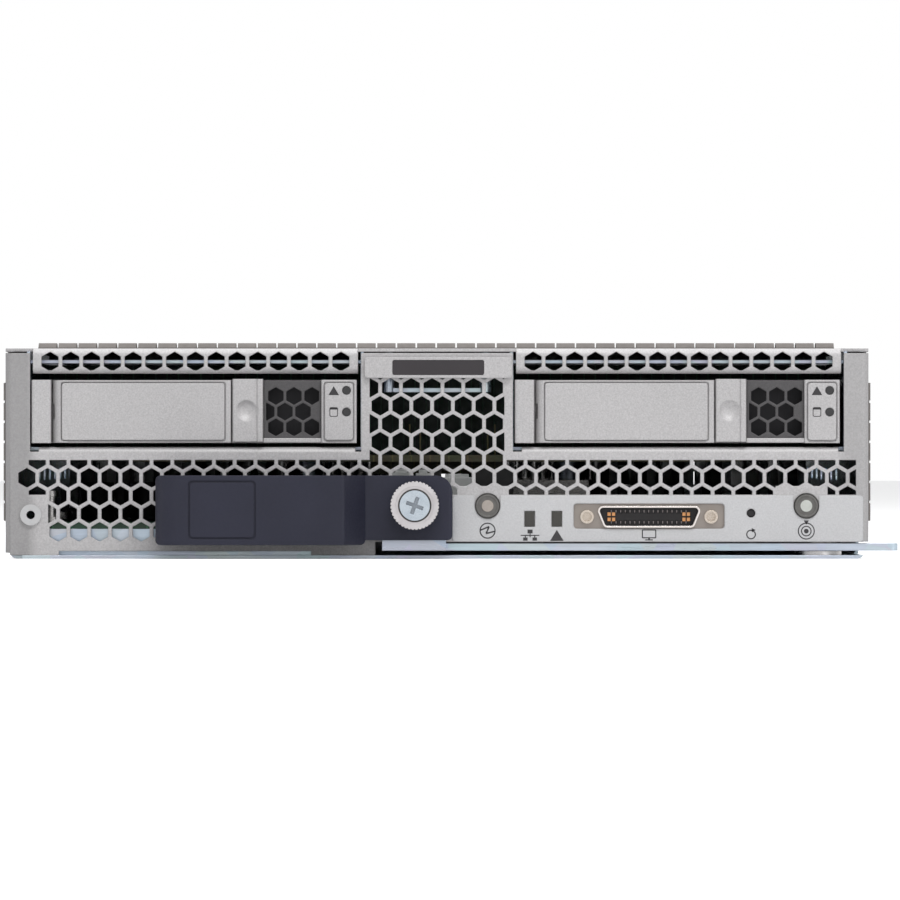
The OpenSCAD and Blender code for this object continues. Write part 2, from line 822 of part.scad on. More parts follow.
module drive_cage() {
  y0 = front_y + panel_t + 0.1;
  top = body_h - sheet_t;
  color(zinc) {
    difference() {
      for (side = [-1, 1])
        plate_xz(y0, backplane_y - y0)
          translate([side * bay_x, 0])
            difference() {
              rect(-bay_w / 2 - sheet_t, bay_w / 2 + sheet_t, bay_z - sheet_t, top);
              rect(-bay_w / 2, bay_w / 2, bay_z, body_h);
            }
      for (side = [-1, 1])
        translate([side * bay_x, 0]) {
          // the panel's rolled lip replaces the front of the cage's floor
          box(-bay_w / 2 - 1, bay_w / 2 + 1, y0 - 1, front_y + 8.2, bay_z - 3, bay_z + 0.1);
          // cooling slots in the floor
          for (i = [0:3])
            raise(bay_z - 3, 6)
              round_rect(-24 + i * 13, -15 + i * 13, front_y + 30, front_y + 84, 4);
        }
    }
    // a shelf behind each header ties the cage's walls together over the drive
    for (side = [-1, 1])
      translate([side * bay_x, 0])
        box(-bay_w / 2 - 0.1, bay_w / 2 + 0.1, front_y + 5, front_y + 24, shelf_z, shelf_z + sheet_t);
    tag_guide();
  }
}

// Two posts hang from the top plate beside the tag's card, with a bar below it
module tag_guide() {
  x = tag_card_w / 2 + slide_gap + tag_post_r;
  y = front_y + 6;
  bar_z = tag_z - 5.8;
  for (side = [-1, 1])
    translate([side * x, y, bar_z]) cylinder(r = tag_post_r, h = body_h - sheet_t - bar_z);
  box(-x, x, y - 0.8, y + 0.8, bar_z, bar_z + 1);
}

module asset_tag() {
  y = front_y - slide_gap;
  color(paint) {
    plate_xz(y - 0.9, 0.9)
      translate([0.3, tag_z])
        round_rect(-tag_w / 2, tag_w / 2, -tag_h / 2, tag_h / 2, 0.7);
    box(-tag_card_w / 2, tag_card_w / 2, y - 0.1, y + tag_l,
      tag_z - tag_card_t / 2, tag_z + tag_card_t / 2);
  }
}

// ---- Panel fittings --------------------------------------------------------

module front_overlay() {
  x0 = handle_x1;
  x1 = half_w - 1.3;
  top = band_z - 0.15;
  color([0.80, 0.79, 0.77])
    plate_xz(front_y - overlay_t, overlay_t)
      difference() {
        round_rect(x0, x1, slot_top + 0.05, top, 0.8);
        for (x = [power_x, locator_x]) {
          translate([x, button_z]) circle(r = button_r + slide_gap);
          rect(x - button_r - slide_gap, x + button_r + slide_gap, button_z, body_h);
        }
        for (side = [-1, 1])
          translate([status_x + side * status_pitch / 2, status_z])
            square([status_w + 0.3, status_h + 0.3], center = true);
        console_opening(0.1);
        translate([reset_x, reset_z]) circle(r = reset_r + 0.1);
      }
}

module panel_rivet() {
  head_y = front_y - 0.7;
  color(alloy)
    difference() {
      union() {
        rod_y(rivet_x, head_y, rivet_z, 2.5, 0.7);
        rod_y(rivet_x, head_y, rivet_z, 1.5, 0.7 + panel_t + 1);
      }
      rod_y(rivet_x, head_y - 1, rivet_z, 1, 5);
    }
}

// ---- Cam lever, handle and thumbscrew --------------------------------------

// The lever's flat bar, seen from above
module lever_plan() {
  bar_y0 = front_y + 0.7;
  bar_y1 = bar_y0 + lever_bar_w;
  tip_x = half_w + cam_reach;
  difference() {
    offset(r = 1.5, $fn = 24)
      offset(delta = -1.5)
        polygon([
          [tongue_x0, upright_y - 4], [tongue_x0 + tongue_w, upright_y - 4],
          [tongue_x0 + tongue_w, bar_y0], [tip_x, bar_y0], [tip_x, bar_y0 + 7],
          [pivot_x + 8, bar_y0 + 9], [pivot_x + 5, bar_y1], [pivot_x - 9, bar_y1],
          [tongue_x0 + tongue_w + 8, bar_y0 + 11], [tongue_x0, bar_y0 + 11]
        ]);
    rect(-body_w, body_w, front_y - 60, upright_y);
  }
}

module ejector_lever() {
  upright_top = screw_z + 4.6;
  color(zinc)
    difference() {
      union() {
        raise(lever_z, lever_t) lever_plan();
        // the tongue turns up behind the screw seat and runs on to the grip
        plate_xz(upright_y, lever_t) {
          rect(tongue_x0, tongue_x0 + tongue_w, lever_z, upright_top);
          round_rect(grip_x1 - 8, tongue_x0 + 4, handle_z0 + 3, upright_top - 2, 2);
        }
      }
      translate([pivot_x, pivot_y, 0]) cylinder(r = pivot_r + 0.1, h = body_h);
      rod_y(screw_x, upright_y - 1, screw_z, shank_r + 0.5, lever_t + 2);
    }
}

module lever_pivot() {
  color(alloy)
    translate([pivot_x, pivot_y, 0]) {
      raise(sheet_t, lever_lift - 0.1) circle(r = pivot_r + 2.5);
      raise(sheet_t, lever_top + 0.3 - sheet_t) circle(r = pivot_r);
      raise(lever_top + 0.2, 1.2) circle(r = pivot_r + 1.6);
    }
}

// The handle seen from above, with its rounded left end
module handle_plan() {
  slope_x = grip_x1 + grip_slope;
  translate([handle_x0 + grip_r, grip_y + grip_r]) circle(r = grip_r);
  rect(handle_x0, handle_x0 + 2 * grip_r, grip_y + grip_r, upright_y);
  offset(r = 1, $fn = 24)
    offset(delta = -1)
      polygon([
        [handle_x0 + grip_r, grip_y], [grip_x1, grip_y], [slope_x, seat_y],
        [handle_x1, seat_y], [handle_x1, upright_y], [handle_x0 + grip_r, upright_y]
      ]);
  rect(handle_x0 + grip_r, handle_x0 + grip_r + 2, grip_y, upright_y);
}

// The handle seen from the front
module handle_front() {
  top = handle_z0 + handle_h;
  round_rect(handle_x0, grip_x1 + grip_slope, handle_z0, top, 1.2);
  difference() {
    round_rect(grip_x1, handle_x1, handle_z0 + 1.1, top, 1.2);
    translate([handle_x1 - 4, top - 4])
      difference() {
        square(10);
        circle(r = 4);
      }
  }
}

module ejector_handle() {
  top = handle_z0 + handle_h;
  badge_x0 = handle_x0 + 7.8;
  color(dark_plastic)
    difference() {
      intersection() {
        raise(handle_z0, handle_h) handle_plan();
        plate_xz(grip_y - 1, 40) handle_front();
      }
      // the grip is hollow behind its face
      box(handle_x0 + 6, grip_x1 - 1, grip_y + handle_wall, upright_y + 1,
        handle_z0 + handle_wall, top - handle_wall);
      rod_y(screw_x, seat_y - 1, screw_z, shank_r + 0.5, 20);
      // the groove round the bare badge field
      plate_xz(grip_y - 1, 1.3)
        difference() {
          round_rect(badge_x0, badge_x0 + 15.8, handle_z0 + 1.4, top - 1.2, 1);
          round_rect(badge_x0 + 0.4, badge_x0 + 15.4, handle_z0 + 1.8, top - 1.6, 0.8);
        }
    }
}

module thumbscrew() {
  knob_y = seat_y - slide_gap - knob_l;
  grooves = 40;
  color(alloy)
    translate([screw_x, knob_y, screw_z])
      rotate([-90, 0, 0])
        difference() {
          union() {
            linear_extrude(knob_l - 1.2)
              difference() {
                circle(r = knob_r);
                for (i = [0:grooves - 1])
                  rotate(i * 360 / grooves)
                    translate([knob_r + 0.12, 0]) rotate(45) square(0.55, center = true);
              }
            cylinder(r = knob_r - 1, h = knob_l);
            cylinder(r = shank_r, h = knob_l + seat_proud + 4.5);
          }
          // the dish in the knob, the screw head in it and its cross recess
          translate([0, 0, -1])
            difference() {
              cylinder(r = knob_r - 1.2, h = 1.9);
              cylinder(r = 3.6, h = 3);
            }
          for (turn = [0, 90])
            rotate(turn + 20) translate([-2.1, -0.45, -1]) cube([4.2, 0.9, 2.6]);
        }
}

module thumbscrew_nut() {
  y = front_y + panel_t;
  color(alloy)
    difference() {
      union() {
        rod_y(screw_x, y, screw_z, 4.6, 1);
        rod_y(screw_x, y, screw_z, 3.6, 4.5);
      }
      rod_y(screw_x, y - 1, screw_z, shank_r + nut_clear, 8);
    }
}

// ---- Buttons and lights ----------------------------------------------------

module push_button(x) {
  flange_y = front_y + panel_t + slide_gap;
  color(clear_plastic)
    union() {
      difference() {
        rod_y(x, front_y - button_proud, button_z, button_r, button_proud + panel_t + 2);
        // the ring round the lens is sunk
        rod_y(x, front_y - button_proud - 1, button_z, button_r - 0.4, 1.5);
      }
      rod_y(x, front_y - button_proud + 0.1, button_z, button_lens_r, 2);
      rod_y(x, flange_y, button_z, button_r + 0.9, 1);
      rod_y(x, flange_y, button_z, 1.2, control_y - button_travel - 0.2 - flange_y);
    }
}

module power_button() {
  push_button(power_x);
}

module locator_button() {
  push_button(locator_x);
}

module reset_button() {
  y = front_y + panel_t + slide_gap;
  color(black_plastic) {
    rod_y(reset_x, front_y + 0.6, reset_z, reset_r - 0.2, 2);
    rod_y(reset_x, y, reset_z, reset_r + 0.6, 1.2);
    rod_y(reset_x, y, reset_z, reset_r - 0.2, control_y - 0.7 - y);
  }
}

module status_light_pipes() {
  color(clear_plastic)
    for (side = [-1, 1])
      plate_xz(front_y - overlay_t, overlay_t + control_y - front_y)
        translate([status_x + side * status_pitch / 2, status_z])
          square([status_w, status_h], center = true);
}

module control_board() {
  color(board_green)
    box(handle_x1 + 1.4, half_w - 5, control_y, control_y + board_t, board_top, band_z);
}

// ---- Console port ----------------------------------------------------------

// The D of the port's shell: wide above, with slanted sides
module shell_outline(inset) {
  w = shell_w / 2 - inset;
  h = shell_h / 2 - inset;
  r = 1.2 - inset;
  translate([console_x, console_z])
    offset(r = r, $fn = 24)
      polygon([
        [-w + r + 1.1, -h + r], [w - r - 1.1, -h + r], [w - r, h - r], [-w + r, h - r]
      ]);
}

module console_shell() {
  plate_y = front_y + panel_t + 0.2;
  color(alloy)
    difference() {
      union() {
        plate_xz(front_y - shell_proud, control_y - front_y + shell_proud) shell_outline(0);
        plate_xz(plate_y, 0.8)
          difference() {
            round_rect(console_x - jack_pitch / 2 - 5, console_x + jack_pitch / 2 + 5,
              console_z - shell_h / 2 - 1, band_z - 0.6, 1);
            for (side = [-1, 1])
              translate([console_x + side * jack_pitch / 2, console_z]) circle(r = jack_r + 0.02);
          }
      }
      plate_xz(front_y - 10, 40) shell_outline(shell_wall);
    }
}

module console_contacts() {
  block_y = front_y - shell_proud + mouth_depth;
  color(black_plastic)
    difference() {
      plate_xz(block_y, control_y - block_y) shell_outline(shell_wall + 0.02);
      // two rows of contact slots with a plain bar between them
      for (row_z = [console_z - 1.3, console_z + 1.3])
        for (i = [-8:8])
          translate([console_x + i * contact_pitch, block_y, row_z])
            cube([contact_pitch * 0.55, 1.6, 0.8], center = true);
    }
}

module console_jack_posts() {
  y = front_y - 0.5;
  color(alloy)
    for (side = [-1, 1]) {
      x = console_x + side * jack_pitch / 2;
      difference() {
        rod_y(x, y, console_z, jack_r, control_y - y);
        rod_y(x, y - 1, console_z, jack_thread_r, jack_depth + 1);
      }
    }
}

// ---- Drives ----------------------------------------------------------------
// Each is drawn with its left lower front corner at the origin.

module drive_place(number) {
  side = (number == 1) ? -1 : 1;
  translate([side * bay_x - drive_w / 2 - drive_lean, drive_y, drive_z]) children();
}

module drive_carrier() {
  y0 = back_plate_y + back_plate_t;
  color(zinc)
    for (x = [disk_x - rail_t, drive_w - disk_x])
      difference() {
        box(x, x + rail_t, y0, rail_l, 0.6, drive_h - 0.6);
        // the rail is pierced for air and for the disk's screws
        for (i = [0:2])
          translate([x - 1, disk_y + 14 + i * disk_l / 4, drive_h / 2])
            rotate([0, 90, 0]) cylinder(r = 2.2, h = rail_t + 2);
      }
}

module drive_bezel() {
  block_y = 0.4;
  back_y = back_plate_y + back_plate_t;
  ear_r = knuckle_r - 1.3;
  color(paint)
    difference() {
      union() {
        raise(0, drive_h) round_rect(0, hinge_block_w, 0, back_y, 0.6);
        box(0.3, drive_w - 0.3, back_plate_y, back_y, 0, drive_h);
        // light panel with its raised field
        raise(0, drive_h) round_rect(light_panel_x0, drive_w, block_y, back_y, 0.4);
        plate_xz(0, block_y + 1) light_field(0);
        // bright sill under the vent window
        box(window_x0, light_panel_x0 + 0.5, 1, back_y, 0.1, 1.2);
        // ear that carries the lever's pin
        box(pin_x - ear_r, pin_x + ear_r, knuckle_r, back_y, 6, 9);
        translate([pin_x, knuckle_r, 6]) cylinder(r = ear_r, h = 3);
      }
      plate_xz(-1, block_y + 1.35)
        difference() {
          light_field(-field_groove);
          light_field(0);
        }
      translate([pin_x, knuckle_r, 0]) cylinder(r = drive_pin_r + 0.05, h = drive_h);
      // clearance for the release button's stem, the window and the lights
      rod_y(button_x0 + drive_button_w / 2, 0, drive_h / 2, 1.6, 10);
      box(window_x0 + 0.4, light_panel_x0 - 0.3, back_plate_y - 1, back_y + 1, 1.5, drive_h - 0.6);
      for (z = light_z)
        rod_y(light_x, -1, z, drive_light_r, back_plate_y + 1);
    }
}

// The raised field of the light panel, seen from the front
module light_field(inset) {
  round_rect(light_panel_x0 + 0.85 + inset, drive_w - 0.85 - inset,
    0.7 + inset, drive_h - 0.75 - inset, 0.7);
}

// The raised label field of the lever, seen from the front
module label_field(inset) {
  round_rect(pin_x - 0.4 + inset, drive_lever_x1 - 1.5 - inset,
    0.7 + inset, drive_h - 0.75 - inset, 0.6);
}

module drive_grille() {
  pitch = 4.26;
  row = pitch * sqrt(3) / 2;
  x1 = light_panel_x0;
  color([0.25, 0.24, 0.24])
    plate_xz(1.6, 1.2)
      difference() {
        rect(window_x0 + 0.1, x1, 1.2, drive_h - 0.2);
        intersection() {
          rect(window_x0 + 0.6, x1 - 0.5, 1.7, drive_h - 1.4);
          for (k = [-1:1])
            for (i = [0:2])
              translate([window_x0 + 2.9 + (i + (abs(k) == 1 ? 0 : -0.5)) * pitch,
                drive_h / 2 - 0.05 + k * row])
                hex(drive_hex_flat);
        }
      }
}

module drive_lever() {
  x1 = drive_lever_x1;
  skin = 1.3;
  color(paint)
    difference() {
      union() {
        // the arm with its rounded hinge end, seen from above
        raise(0.1, drive_h - 0.2) {
          translate([pin_x, knuckle_r]) circle(r = knuckle_r);
          rect(pin_x, x1, 0.3, drive_lever_t);
        }
        // raised label field
        plate_xz(0, 1) label_field(0);
      }
      plate_xz(-1, 1.7)
        difference() {
          label_field(-field_groove);
          label_field(0);
        }
      // hollow back of the arm
      box(pin_x + knuckle_r + 1, x1 - skin, skin, drive_lever_t + 1, skin, drive_h - skin);
      translate([pin_x, knuckle_r, 0]) cylinder(r = drive_pin_r, h = drive_h);
      // room for the bezel's ear as the lever swings
      raise(5.7, 3.6)
        translate([pin_x, knuckle_r]) {
          circle(r = knuckle_r - 1);
          polygon([[0, 0], [9, 5], [9, 12], [-12, 12], [-12, -8]]);
        }
    }
}

module drive_lever_pin() {
  color(alloy)
    translate([pin_x, knuckle_r, 0.3]) cylinder(r = drive_pin_r, h = drive_h - 0.6);
}

module drive_button() {
  x0 = button_x0;
  x1 = button_x0 + drive_button_w;
  y1 = back_plate_y - drive_button_travel - 0.4;
  mid = (x0 + x1) / 2 - 0.3;
  color(paint)
    difference() {
      union() {
        raise(0.3, drive_h - 0.1) {
          round_rect(x0, x1 - 0.1, 0, y1, 0.5);
          round_rect(x1 - 1.5, x1 - 0.1, -0.4, y1, 0.3);
        }
        rod_y((x0 + x1) / 2, y1 - 0.1, drive_h / 2, 1.2, back_plate_y + 0.9 - y1);
      }
      translate([mid, -2.6, drive_h / 2 + 0.2]) sphere(r = 3.6);
    }
}

module drive_disk() {
  step = 4;
  ring_y = disk_l * 0.38;
  color([0.72, 0.73, 0.74])
    translate([disk_x, disk_y, 0.1])
      difference() {
        union() {
          box(0, disk_w, 0, disk_l, 0, disk_h - 1);
          raise(disk_h - 1, 1)
            round_rect(1.5, disk_w - 1.5, 2, disk_l - 2, 5);
        }
        // the pressed ring over the platters and the connector's notch
        translate([disk_w / 2, ring_y, disk_h - 0.5])
          difference() {
            cylinder(r = disk_w / 2 - 6, h = 2);
            cylinder(r = disk_w / 2 - 8, h = 2);
            translate([0, 0, -1]) cylinder(r = 8, h = 4);
          }
        box(12, disk_w - 16, disk_l - step, disk_l + 1, -1, 5.5);
      }
}

module drive_light_pipes() {
  color(clear_plastic)
    for (z = light_z)
      rod_y(light_x, 0.1, z, drive_light_r - 0.05, back_plate_y - 0.1);
}

// ---- Boards ----------------------------------------------------------------

module storage_board() {
  y1 = backplane_y - 0.4;
  pad_in = 8;
  color([0.28, 0.29, 0.16]) {
    y0 = front_y + storage_in;
    box(-storage_w / 2, storage_w / 2, y0, y1, storage_z, storage_z + board_t);
    // pads under the cage, and the connector on the board's underside
    for (side = [-1, 1])
      for (y = [y0 + pad_in, y1 - pad_in])
        translate([side * (storage_w / 2 - pad_in), y, storage_z + board_t]) cylinder(r = 2.5, h = 1.1);
    box(-2 * pad_in, 2 * pad_in, hub_y, hub_y + 4 * pad_in, storage_z - 3, storage_z);
    // thin leads that stand up between the bays
    for (lead = [[-6.5, 7.3], [-4, 5.2], [12, 4.8], [13.7, 7.3]])
      translate([lead[0], y0 + 3, storage_z + board_t]) cylinder(r = 0.2, h = lead[1], $fn = 12);
  }
}

module drive_backplane() {
  color(board_green)
    difference() {
      box(-tray_in + 2, tray_in - 2, backplane_y, backplane_y + board_t, storage_z, body_h - 3);
      // cooling windows beside the sockets
      for (side = [-1, 1])
        for (x = [-bay_w / 2 + 3, bay_w / 2 - 15])
          translate([side * bay_x, 0])
            box(x, x + 12, backplane_y - 1, backplane_y + 4, drive_z + 2, body_h - 7);
    }
}

module drive_sockets() {
  y0 = drive_y + disk_y + disk_l - 3.4;
  x0 = disk_x + 13;
  color(black_plastic)
    for (number = [1, 2])
      translate([(number == 1 ? -1 : 1) * bay_x - drive_w / 2 - drive_lean, 0, drive_z])
        difference() {
          box(x0, x0 + disk_w - 29.85, y0, backplane_y, 0.4, 5);
          box(x0 + 1.5, x0 + 22, y0 - 1, y0 + 5, 2, 3.4);
          box(x0 + 24, x0 + disk_w - 31.35, y0 - 1, y0 + 5, 2, 3.4);
        }
}

module motherboard() {
  color(board_green)
    difference() {
      box(-board_half, board_half, board_y0, board_y1, board_z, board_top);
      // the right of the front edge is set back for the port and the controls
      box(handle_x1, body_w, board_y0 - 1, control_y, board_z - 1, board_top + 1);
      standoff_places(0) cylinder(r = 1.7, h = body_h);
    }
}

module standoff_places(z) {
  for (x = [-board_half + board_screw_in, board_half - board_screw_in])
    for (y = [front_y + 44, backplane_y + 9, (cpu_y[0] + cpu_y[1]) / 2, card_y0 - board_screw_in,
      card_y0 + card_l - 8])
      translate([x, y, z]) children();
}

module board_standoffs() {
  color(alloy) {
    standoff_places(sheet_t) cylinder(r = 2.9, h = standoff_h, $fn = 6);
    standoff_places(sheet_t) cylinder(r = 1.6, h = standoff_h + board_t + 0.1);
    standoff_places(board_top) cylinder(r = 3, h = 1.8);
    // a locating post stands at the board's front left corner
    translate([rivet_x + 4.3, board_y0 + 9, board_top]) {
      cylinder(r = 1.3, h = 7);
      cylinder(r = 2.4, h = 1.2);
      translate([0, 0, 6]) cylinder(r = 1.7, h = 1.4);
    }
  }
}

// Draws its children at the four screws of each heatsink
module sink_screw_places(z) {
  for (y = cpu_y)
    for (sx = [-1, 1])
      for (sy = [-1, 1])
        translate([sx * (sink_w / 2 - sink_screw_in), y + sy * (sink_l / 2 - sink_screw_in), z])
          children();
}

module cpu_sockets() {
  frame_half = sink_l / 2 - sink_screw_in;
  color([0.6, 0.61, 0.62])
    difference() {
      for (y = cpu_y)
        raise(board_top, socket_frame_h)
          round_rect(-sink_w / 2 + 1, sink_w / 2 - 1, y - frame_half, y + frame_half, 4);
      for (y = cpu_y)
        raise(board_top + socket_frame_h / 2, socket_frame_h)
          rect(-cpu_w / 2, cpu_w / 2, y - cpu_l / 2, y + cpu_l / 2);
      sink_screw_places(0) cylinder(r = sink_screw_r + 0.3, h = body_h);
    }
}

module heatsinks() {
  fins = floor((sink_w - fin_t) / fin_pitch);
  x0 = -fins * fin_pitch / 2;
  color(alloy)
    for (y = cpu_y) {
      difference() {
        raise(sink_z, sink_base_t)
          round_rect(-sink_w / 2, sink_w / 2, y - sink_l / 2, y + sink_l / 2, 1.5);
        sink_screw_places(0) cylinder(r = sink_screw_r + 0.3, h = body_h);
      }
      // the fins stop short of the screws
      plate_xz(y - sink_l / 2 + 2 * sink_screw_in, sink_l - 4 * sink_screw_in)
        for (i = [0:fins])
          rect(x0 + i * fin_pitch - fin_t / 2, x0 + i * fin_pitch + fin_t / 2,
            sink_z + sink_base_t - 0.1, board_top + sink_h);
    }
}

module heatsink_screws() {
  head_z = socket_frame_h + sink_base_t;
  color(zinc)
    sink_screw_places(board_top)
      difference() {
        union() {
          cylinder(r = sink_screw_r, h = head_z + 2);
          translate([0, 0, head_z]) cylinder(r = 2 * sink_screw_r, h = 3 * sink_screw_r);
        }
        // cross recess in the head
        for (turn = [0, 90])
          rotate(turn)
            translate([0, 0, head_z + 3 * sink_screw_r])
              cube([2.4 * sink_screw_r, 0.8, 3], center = true);
      }
}

// Draws its children at every memory socket, with +Y along the module
module dimm_places() {
  for (y = cpu_y)
    for (side = [-1, 1])
      for (i = [0:dimm_count - 1])
        translate([side * (dimm_x0 + i * dimm_pitch), y, board_top]) children();
}

module memory_sockets() {
  color(black_plastic)
    dimm_places()
      difference() {
        box(-dimm_socket_w / 2, dimm_socket_w / 2, -dimm_socket_l / 2, dimm_socket_l / 2,
          0, dimm_socket_h);
        box(-dimm_t / 2 - 0.05, dimm_t / 2 + 0.05, -dimm_l / 2 - 0.3, dimm_l / 2 + 0.3,
          dimm_seat, body_h);
        for (end = [-1, 1])
          translate([0, end * (dimm_socket_l / 2 - 1), dimm_socket_h / 2 + 2])
            cube([2.8, 9, dimm_socket_h], center = true);
      }
}

module memory_modules() {
  color([0.12, 0.30, 0.18])
    dimm_places()
      translate([0, 0, dimm_seat]) {
        box(-dimm_t / 2, dimm_t / 2, -dimm_l / 2, dimm_l / 2, 0, dimm_h);
        for (i = [-4:4])
          translate([0, i * dimm_l / 9.5, 0])
            box(dimm_t / 2 - 0.1, dimm_t / 2 + 1.1, -5.5, 5.5, dimm_h * 0.4, dimm_h * 0.77);
      }
}

// A row of memory latches on one hinge line; end is -1 at the front, 1 at the rear
module latch_row(y, end) {
  base_y = y + end * (dimm_socket_l / 2 - 1.2);
  color([0.85, 0.86, 0.86])
    for (side = [-1, 1])
      for (i = [0:dimm_count - 1])
        translate([side * (dimm_x0 + i * dimm_pitch), base_y, board_top]) {
          z1 = dimm_seat + dimm_h * 0.55;
          z0 = dimm_socket_h / 2 - 1.2;
          box(-1.1, 1.1, -1.1, 1.1, z0, z1);
          translate([-1.8, end > 0 ? -1.1 : -2.6, z1 - 1.5]) cube([3.6, 3.7, 1.5]);
        }
}

module adapter_cards() {
  z = board_top + card_lift;
  color(board_green)
    for (side = [-1, 1])
      translate([side * (card_w / 2 + card_x0), card_y0, 0]) {
        box(-card_w / 2, card_w / 2, 0, card_l, z, z + board_t);
        for (x = [-card_w / 2 + 5, card_w / 2 - 5])
          for (y = [5, card_l - 5])
            translate([x, y, board_top]) cylinder(r = 2.6, h = card_lift);
        // the connector below and the controller above
        box(-card_w * 0.3, card_w * 0.3, 12, 20, board_top, z);
        box(-card_w / 4, card_w / 4, card_l / 3, card_l * 0.73, z + board_t, z + board_t + 2.5);
      }
}

// A housing with an open mouth facing the rear
module rear_housing(x, w, h) {
  y0 = rear_y - rear_conn_l;
  color(black_plastic)
    difference() {
      box(x - w / 2, x + w / 2, y0, rear_y, board_top, board_top + h);
      box(x - w / 2 + rear_wall, x + w / 2 - rear_wall, rear_y - rear_mouth, rear_y + 1,
        board_top + rear_wall, board_top + h - rear_wall);
      box(x - w, x + w, board_y1, rear_y + 1, 0, board_top + 0.6);
    }
}

// Columns of slots in the floor of a rear connector's mouth, from its centre x
module contact_slots(x, w, h, pitch, rows) {
  columns = floor((w - 2 * rear_wall - 4) / pitch / 2);
  slot_h = (h - 2 * rear_wall - 3) / rows;
  for (i = [-columns:columns])
    for (k = [0:rows - 1])
      translate([x + i * pitch, rear_y - rear_mouth - 1,
        board_top + rear_wall + 1.5 + (k + 0.5) * slot_h])
        cube([pitch * 0.4, 3, slot_h * 0.7], center = true);
}

module signal_connector() {
  difference() {
    rear_housing(-rear_conn_x, signal_w, signal_h);
    contact_slots(-rear_conn_x, signal_w, signal_h, signal_pitch, 4);
  }
}

module power_connector() {
  difference() {
    rear_housing(rear_conn_x, power_w, power_h);
    contact_slots(rear_conn_x, power_w, power_h, power_pitch, 1);
  }
}

module guide_sockets() {
  color(alloy)
    for (side = [-1, 1])
      translate([side * guide_x, 0, board_top])
        difference() {
          box(-guide_w / 2, guide_w / 2, rear_y - rear_conn_l, rear_y - 1, 0, guide_w);
          rod_y(0, rear_y - 1 - guide_depth, guide_w / 2, guide_r, guide_depth + 2);
        }
}

module board_parts() {
  choke_pitch = sink_w / 6.5;
  color([0.22, 0.22, 0.23]) {
    // a row of chokes in front of each processor
    for (y = cpu_y)
      for (i = [0:5])
        translate([(i - 2.5) * choke_pitch, y - sink_l / 2 - choke_w / 2 - 7.5, board_top])
          raise(0, choke_w * 0.55) square(choke_w, center = true);
    // a row of capacitors beside the front left standoff
    for (i = [0:4])
      translate([-board_half + 14.5 + i * 3 * capacitor_r, backplane_y + 9, board_top])
        cylinder(r = capacitor_r, h = capacitor_h);
    // the controller hub under the storage board
    box(-20, 20, hub_y, hub_y + 40, board_top, board_top + 3);
  }
}

// ---- Nodes -----------------------------------------------------------------

base_tray();
front_panel();
front_top_plate();
top_cover();
cover_latch();
spring_fingers_top();
spring_fingers_left();
spring_fingers_right();
drive_cage();
asset_tag();
front_overlay();
panel_rivet();
ejector_lever();
ejector_handle();
lever_pivot();
thumbscrew();
thumbscrew_nut();
power_button();
locator_button();
reset_button();
status_light_pipes();
control_board();
console_shell();
console_contacts();
console_jack_posts();
drive_place(1) drive_carrier();  // drive_1_carrier
drive_place(1) drive_bezel();  // drive_1_bezel
drive_place(1) drive_grille();  // drive_1_grille
drive_place(1) drive_lever();  // drive_1_lever
drive_place(1) drive_lever_pin();  // drive_1_lever_pin
drive_place(1) drive_button();  // drive_1_button
drive_place(1) drive_disk();  // drive_1_disk
drive_place(1) drive_light_pipes();  // drive_1_light_pipes
drive_place(2) drive_carrier();  // drive_2_carrier
drive_place(2) drive_bezel();  // drive_2_bezel
drive_place(2) drive_grille();  // drive_2_grille
drive_place(2) drive_lever();  // drive_2_lever
drive_place(2) drive_lever_pin();  // drive_2_lever_pin
drive_place(2) drive_button();  // drive_2_button
drive_place(2) drive_disk();  // drive_2_disk
drive_place(2) drive_light_pipes();  // drive_2_light_pipes
storage_board();
drive_backplane();
drive_sockets();
motherboard();
board_standoffs();
cpu_sockets();
heatsinks();
heatsink_screws();
memory_sockets();
memory_modules();
latch_row(cpu_y[0], -1);  // latches_front_a
latch_row(cpu_y[0], 1);  // latches_front_b
latch_row(cpu_y[1], -1);  // latches_rear_a
latch_row(cpu_y[1], 1);  // latches_rear_b
adapter_cards();
signal_connector();
power_connector();
guide_sockets();
board_parts();
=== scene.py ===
"""Blade server: finishes, printed marks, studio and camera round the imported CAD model."""
import json
import math

import bmesh
import bpy
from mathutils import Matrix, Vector


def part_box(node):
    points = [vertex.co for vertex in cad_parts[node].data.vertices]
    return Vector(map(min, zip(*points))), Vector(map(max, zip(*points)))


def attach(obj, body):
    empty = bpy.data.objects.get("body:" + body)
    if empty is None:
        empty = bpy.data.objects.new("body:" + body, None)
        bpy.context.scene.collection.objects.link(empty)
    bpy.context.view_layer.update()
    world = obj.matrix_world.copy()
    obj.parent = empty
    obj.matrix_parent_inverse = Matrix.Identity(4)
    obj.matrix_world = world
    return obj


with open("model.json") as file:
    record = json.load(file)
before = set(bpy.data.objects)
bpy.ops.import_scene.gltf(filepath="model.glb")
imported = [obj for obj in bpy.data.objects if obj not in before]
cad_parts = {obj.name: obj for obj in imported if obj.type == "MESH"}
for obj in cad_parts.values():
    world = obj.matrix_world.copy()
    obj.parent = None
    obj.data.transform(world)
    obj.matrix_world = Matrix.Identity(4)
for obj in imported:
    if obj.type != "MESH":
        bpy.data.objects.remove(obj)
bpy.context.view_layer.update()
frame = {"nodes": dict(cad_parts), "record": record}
NODES = frame["nodes"]
MM = 0.001
SPANGLE_SCALE = 140.0
MARK_T = 0.02           # thickness of printed ink, mm
STRIP_T = 0.04          # thickness of the tag's strip, mm
ICON_Z = 5.5            # height of the light windows' pictograms, mm
FLOOR_HALF = 6.0        # half the floor's side, m
FLOOR_WHITE = 0.84
FLOOR_GLOW = 0.5        # what the camera sees on top of the lit floor
WORLD_FILL = 0.36
VIEW_MARGIN = 1.0423    # width of the view over the panel's width
CAMERA_DISTANCE = 2.5   # m
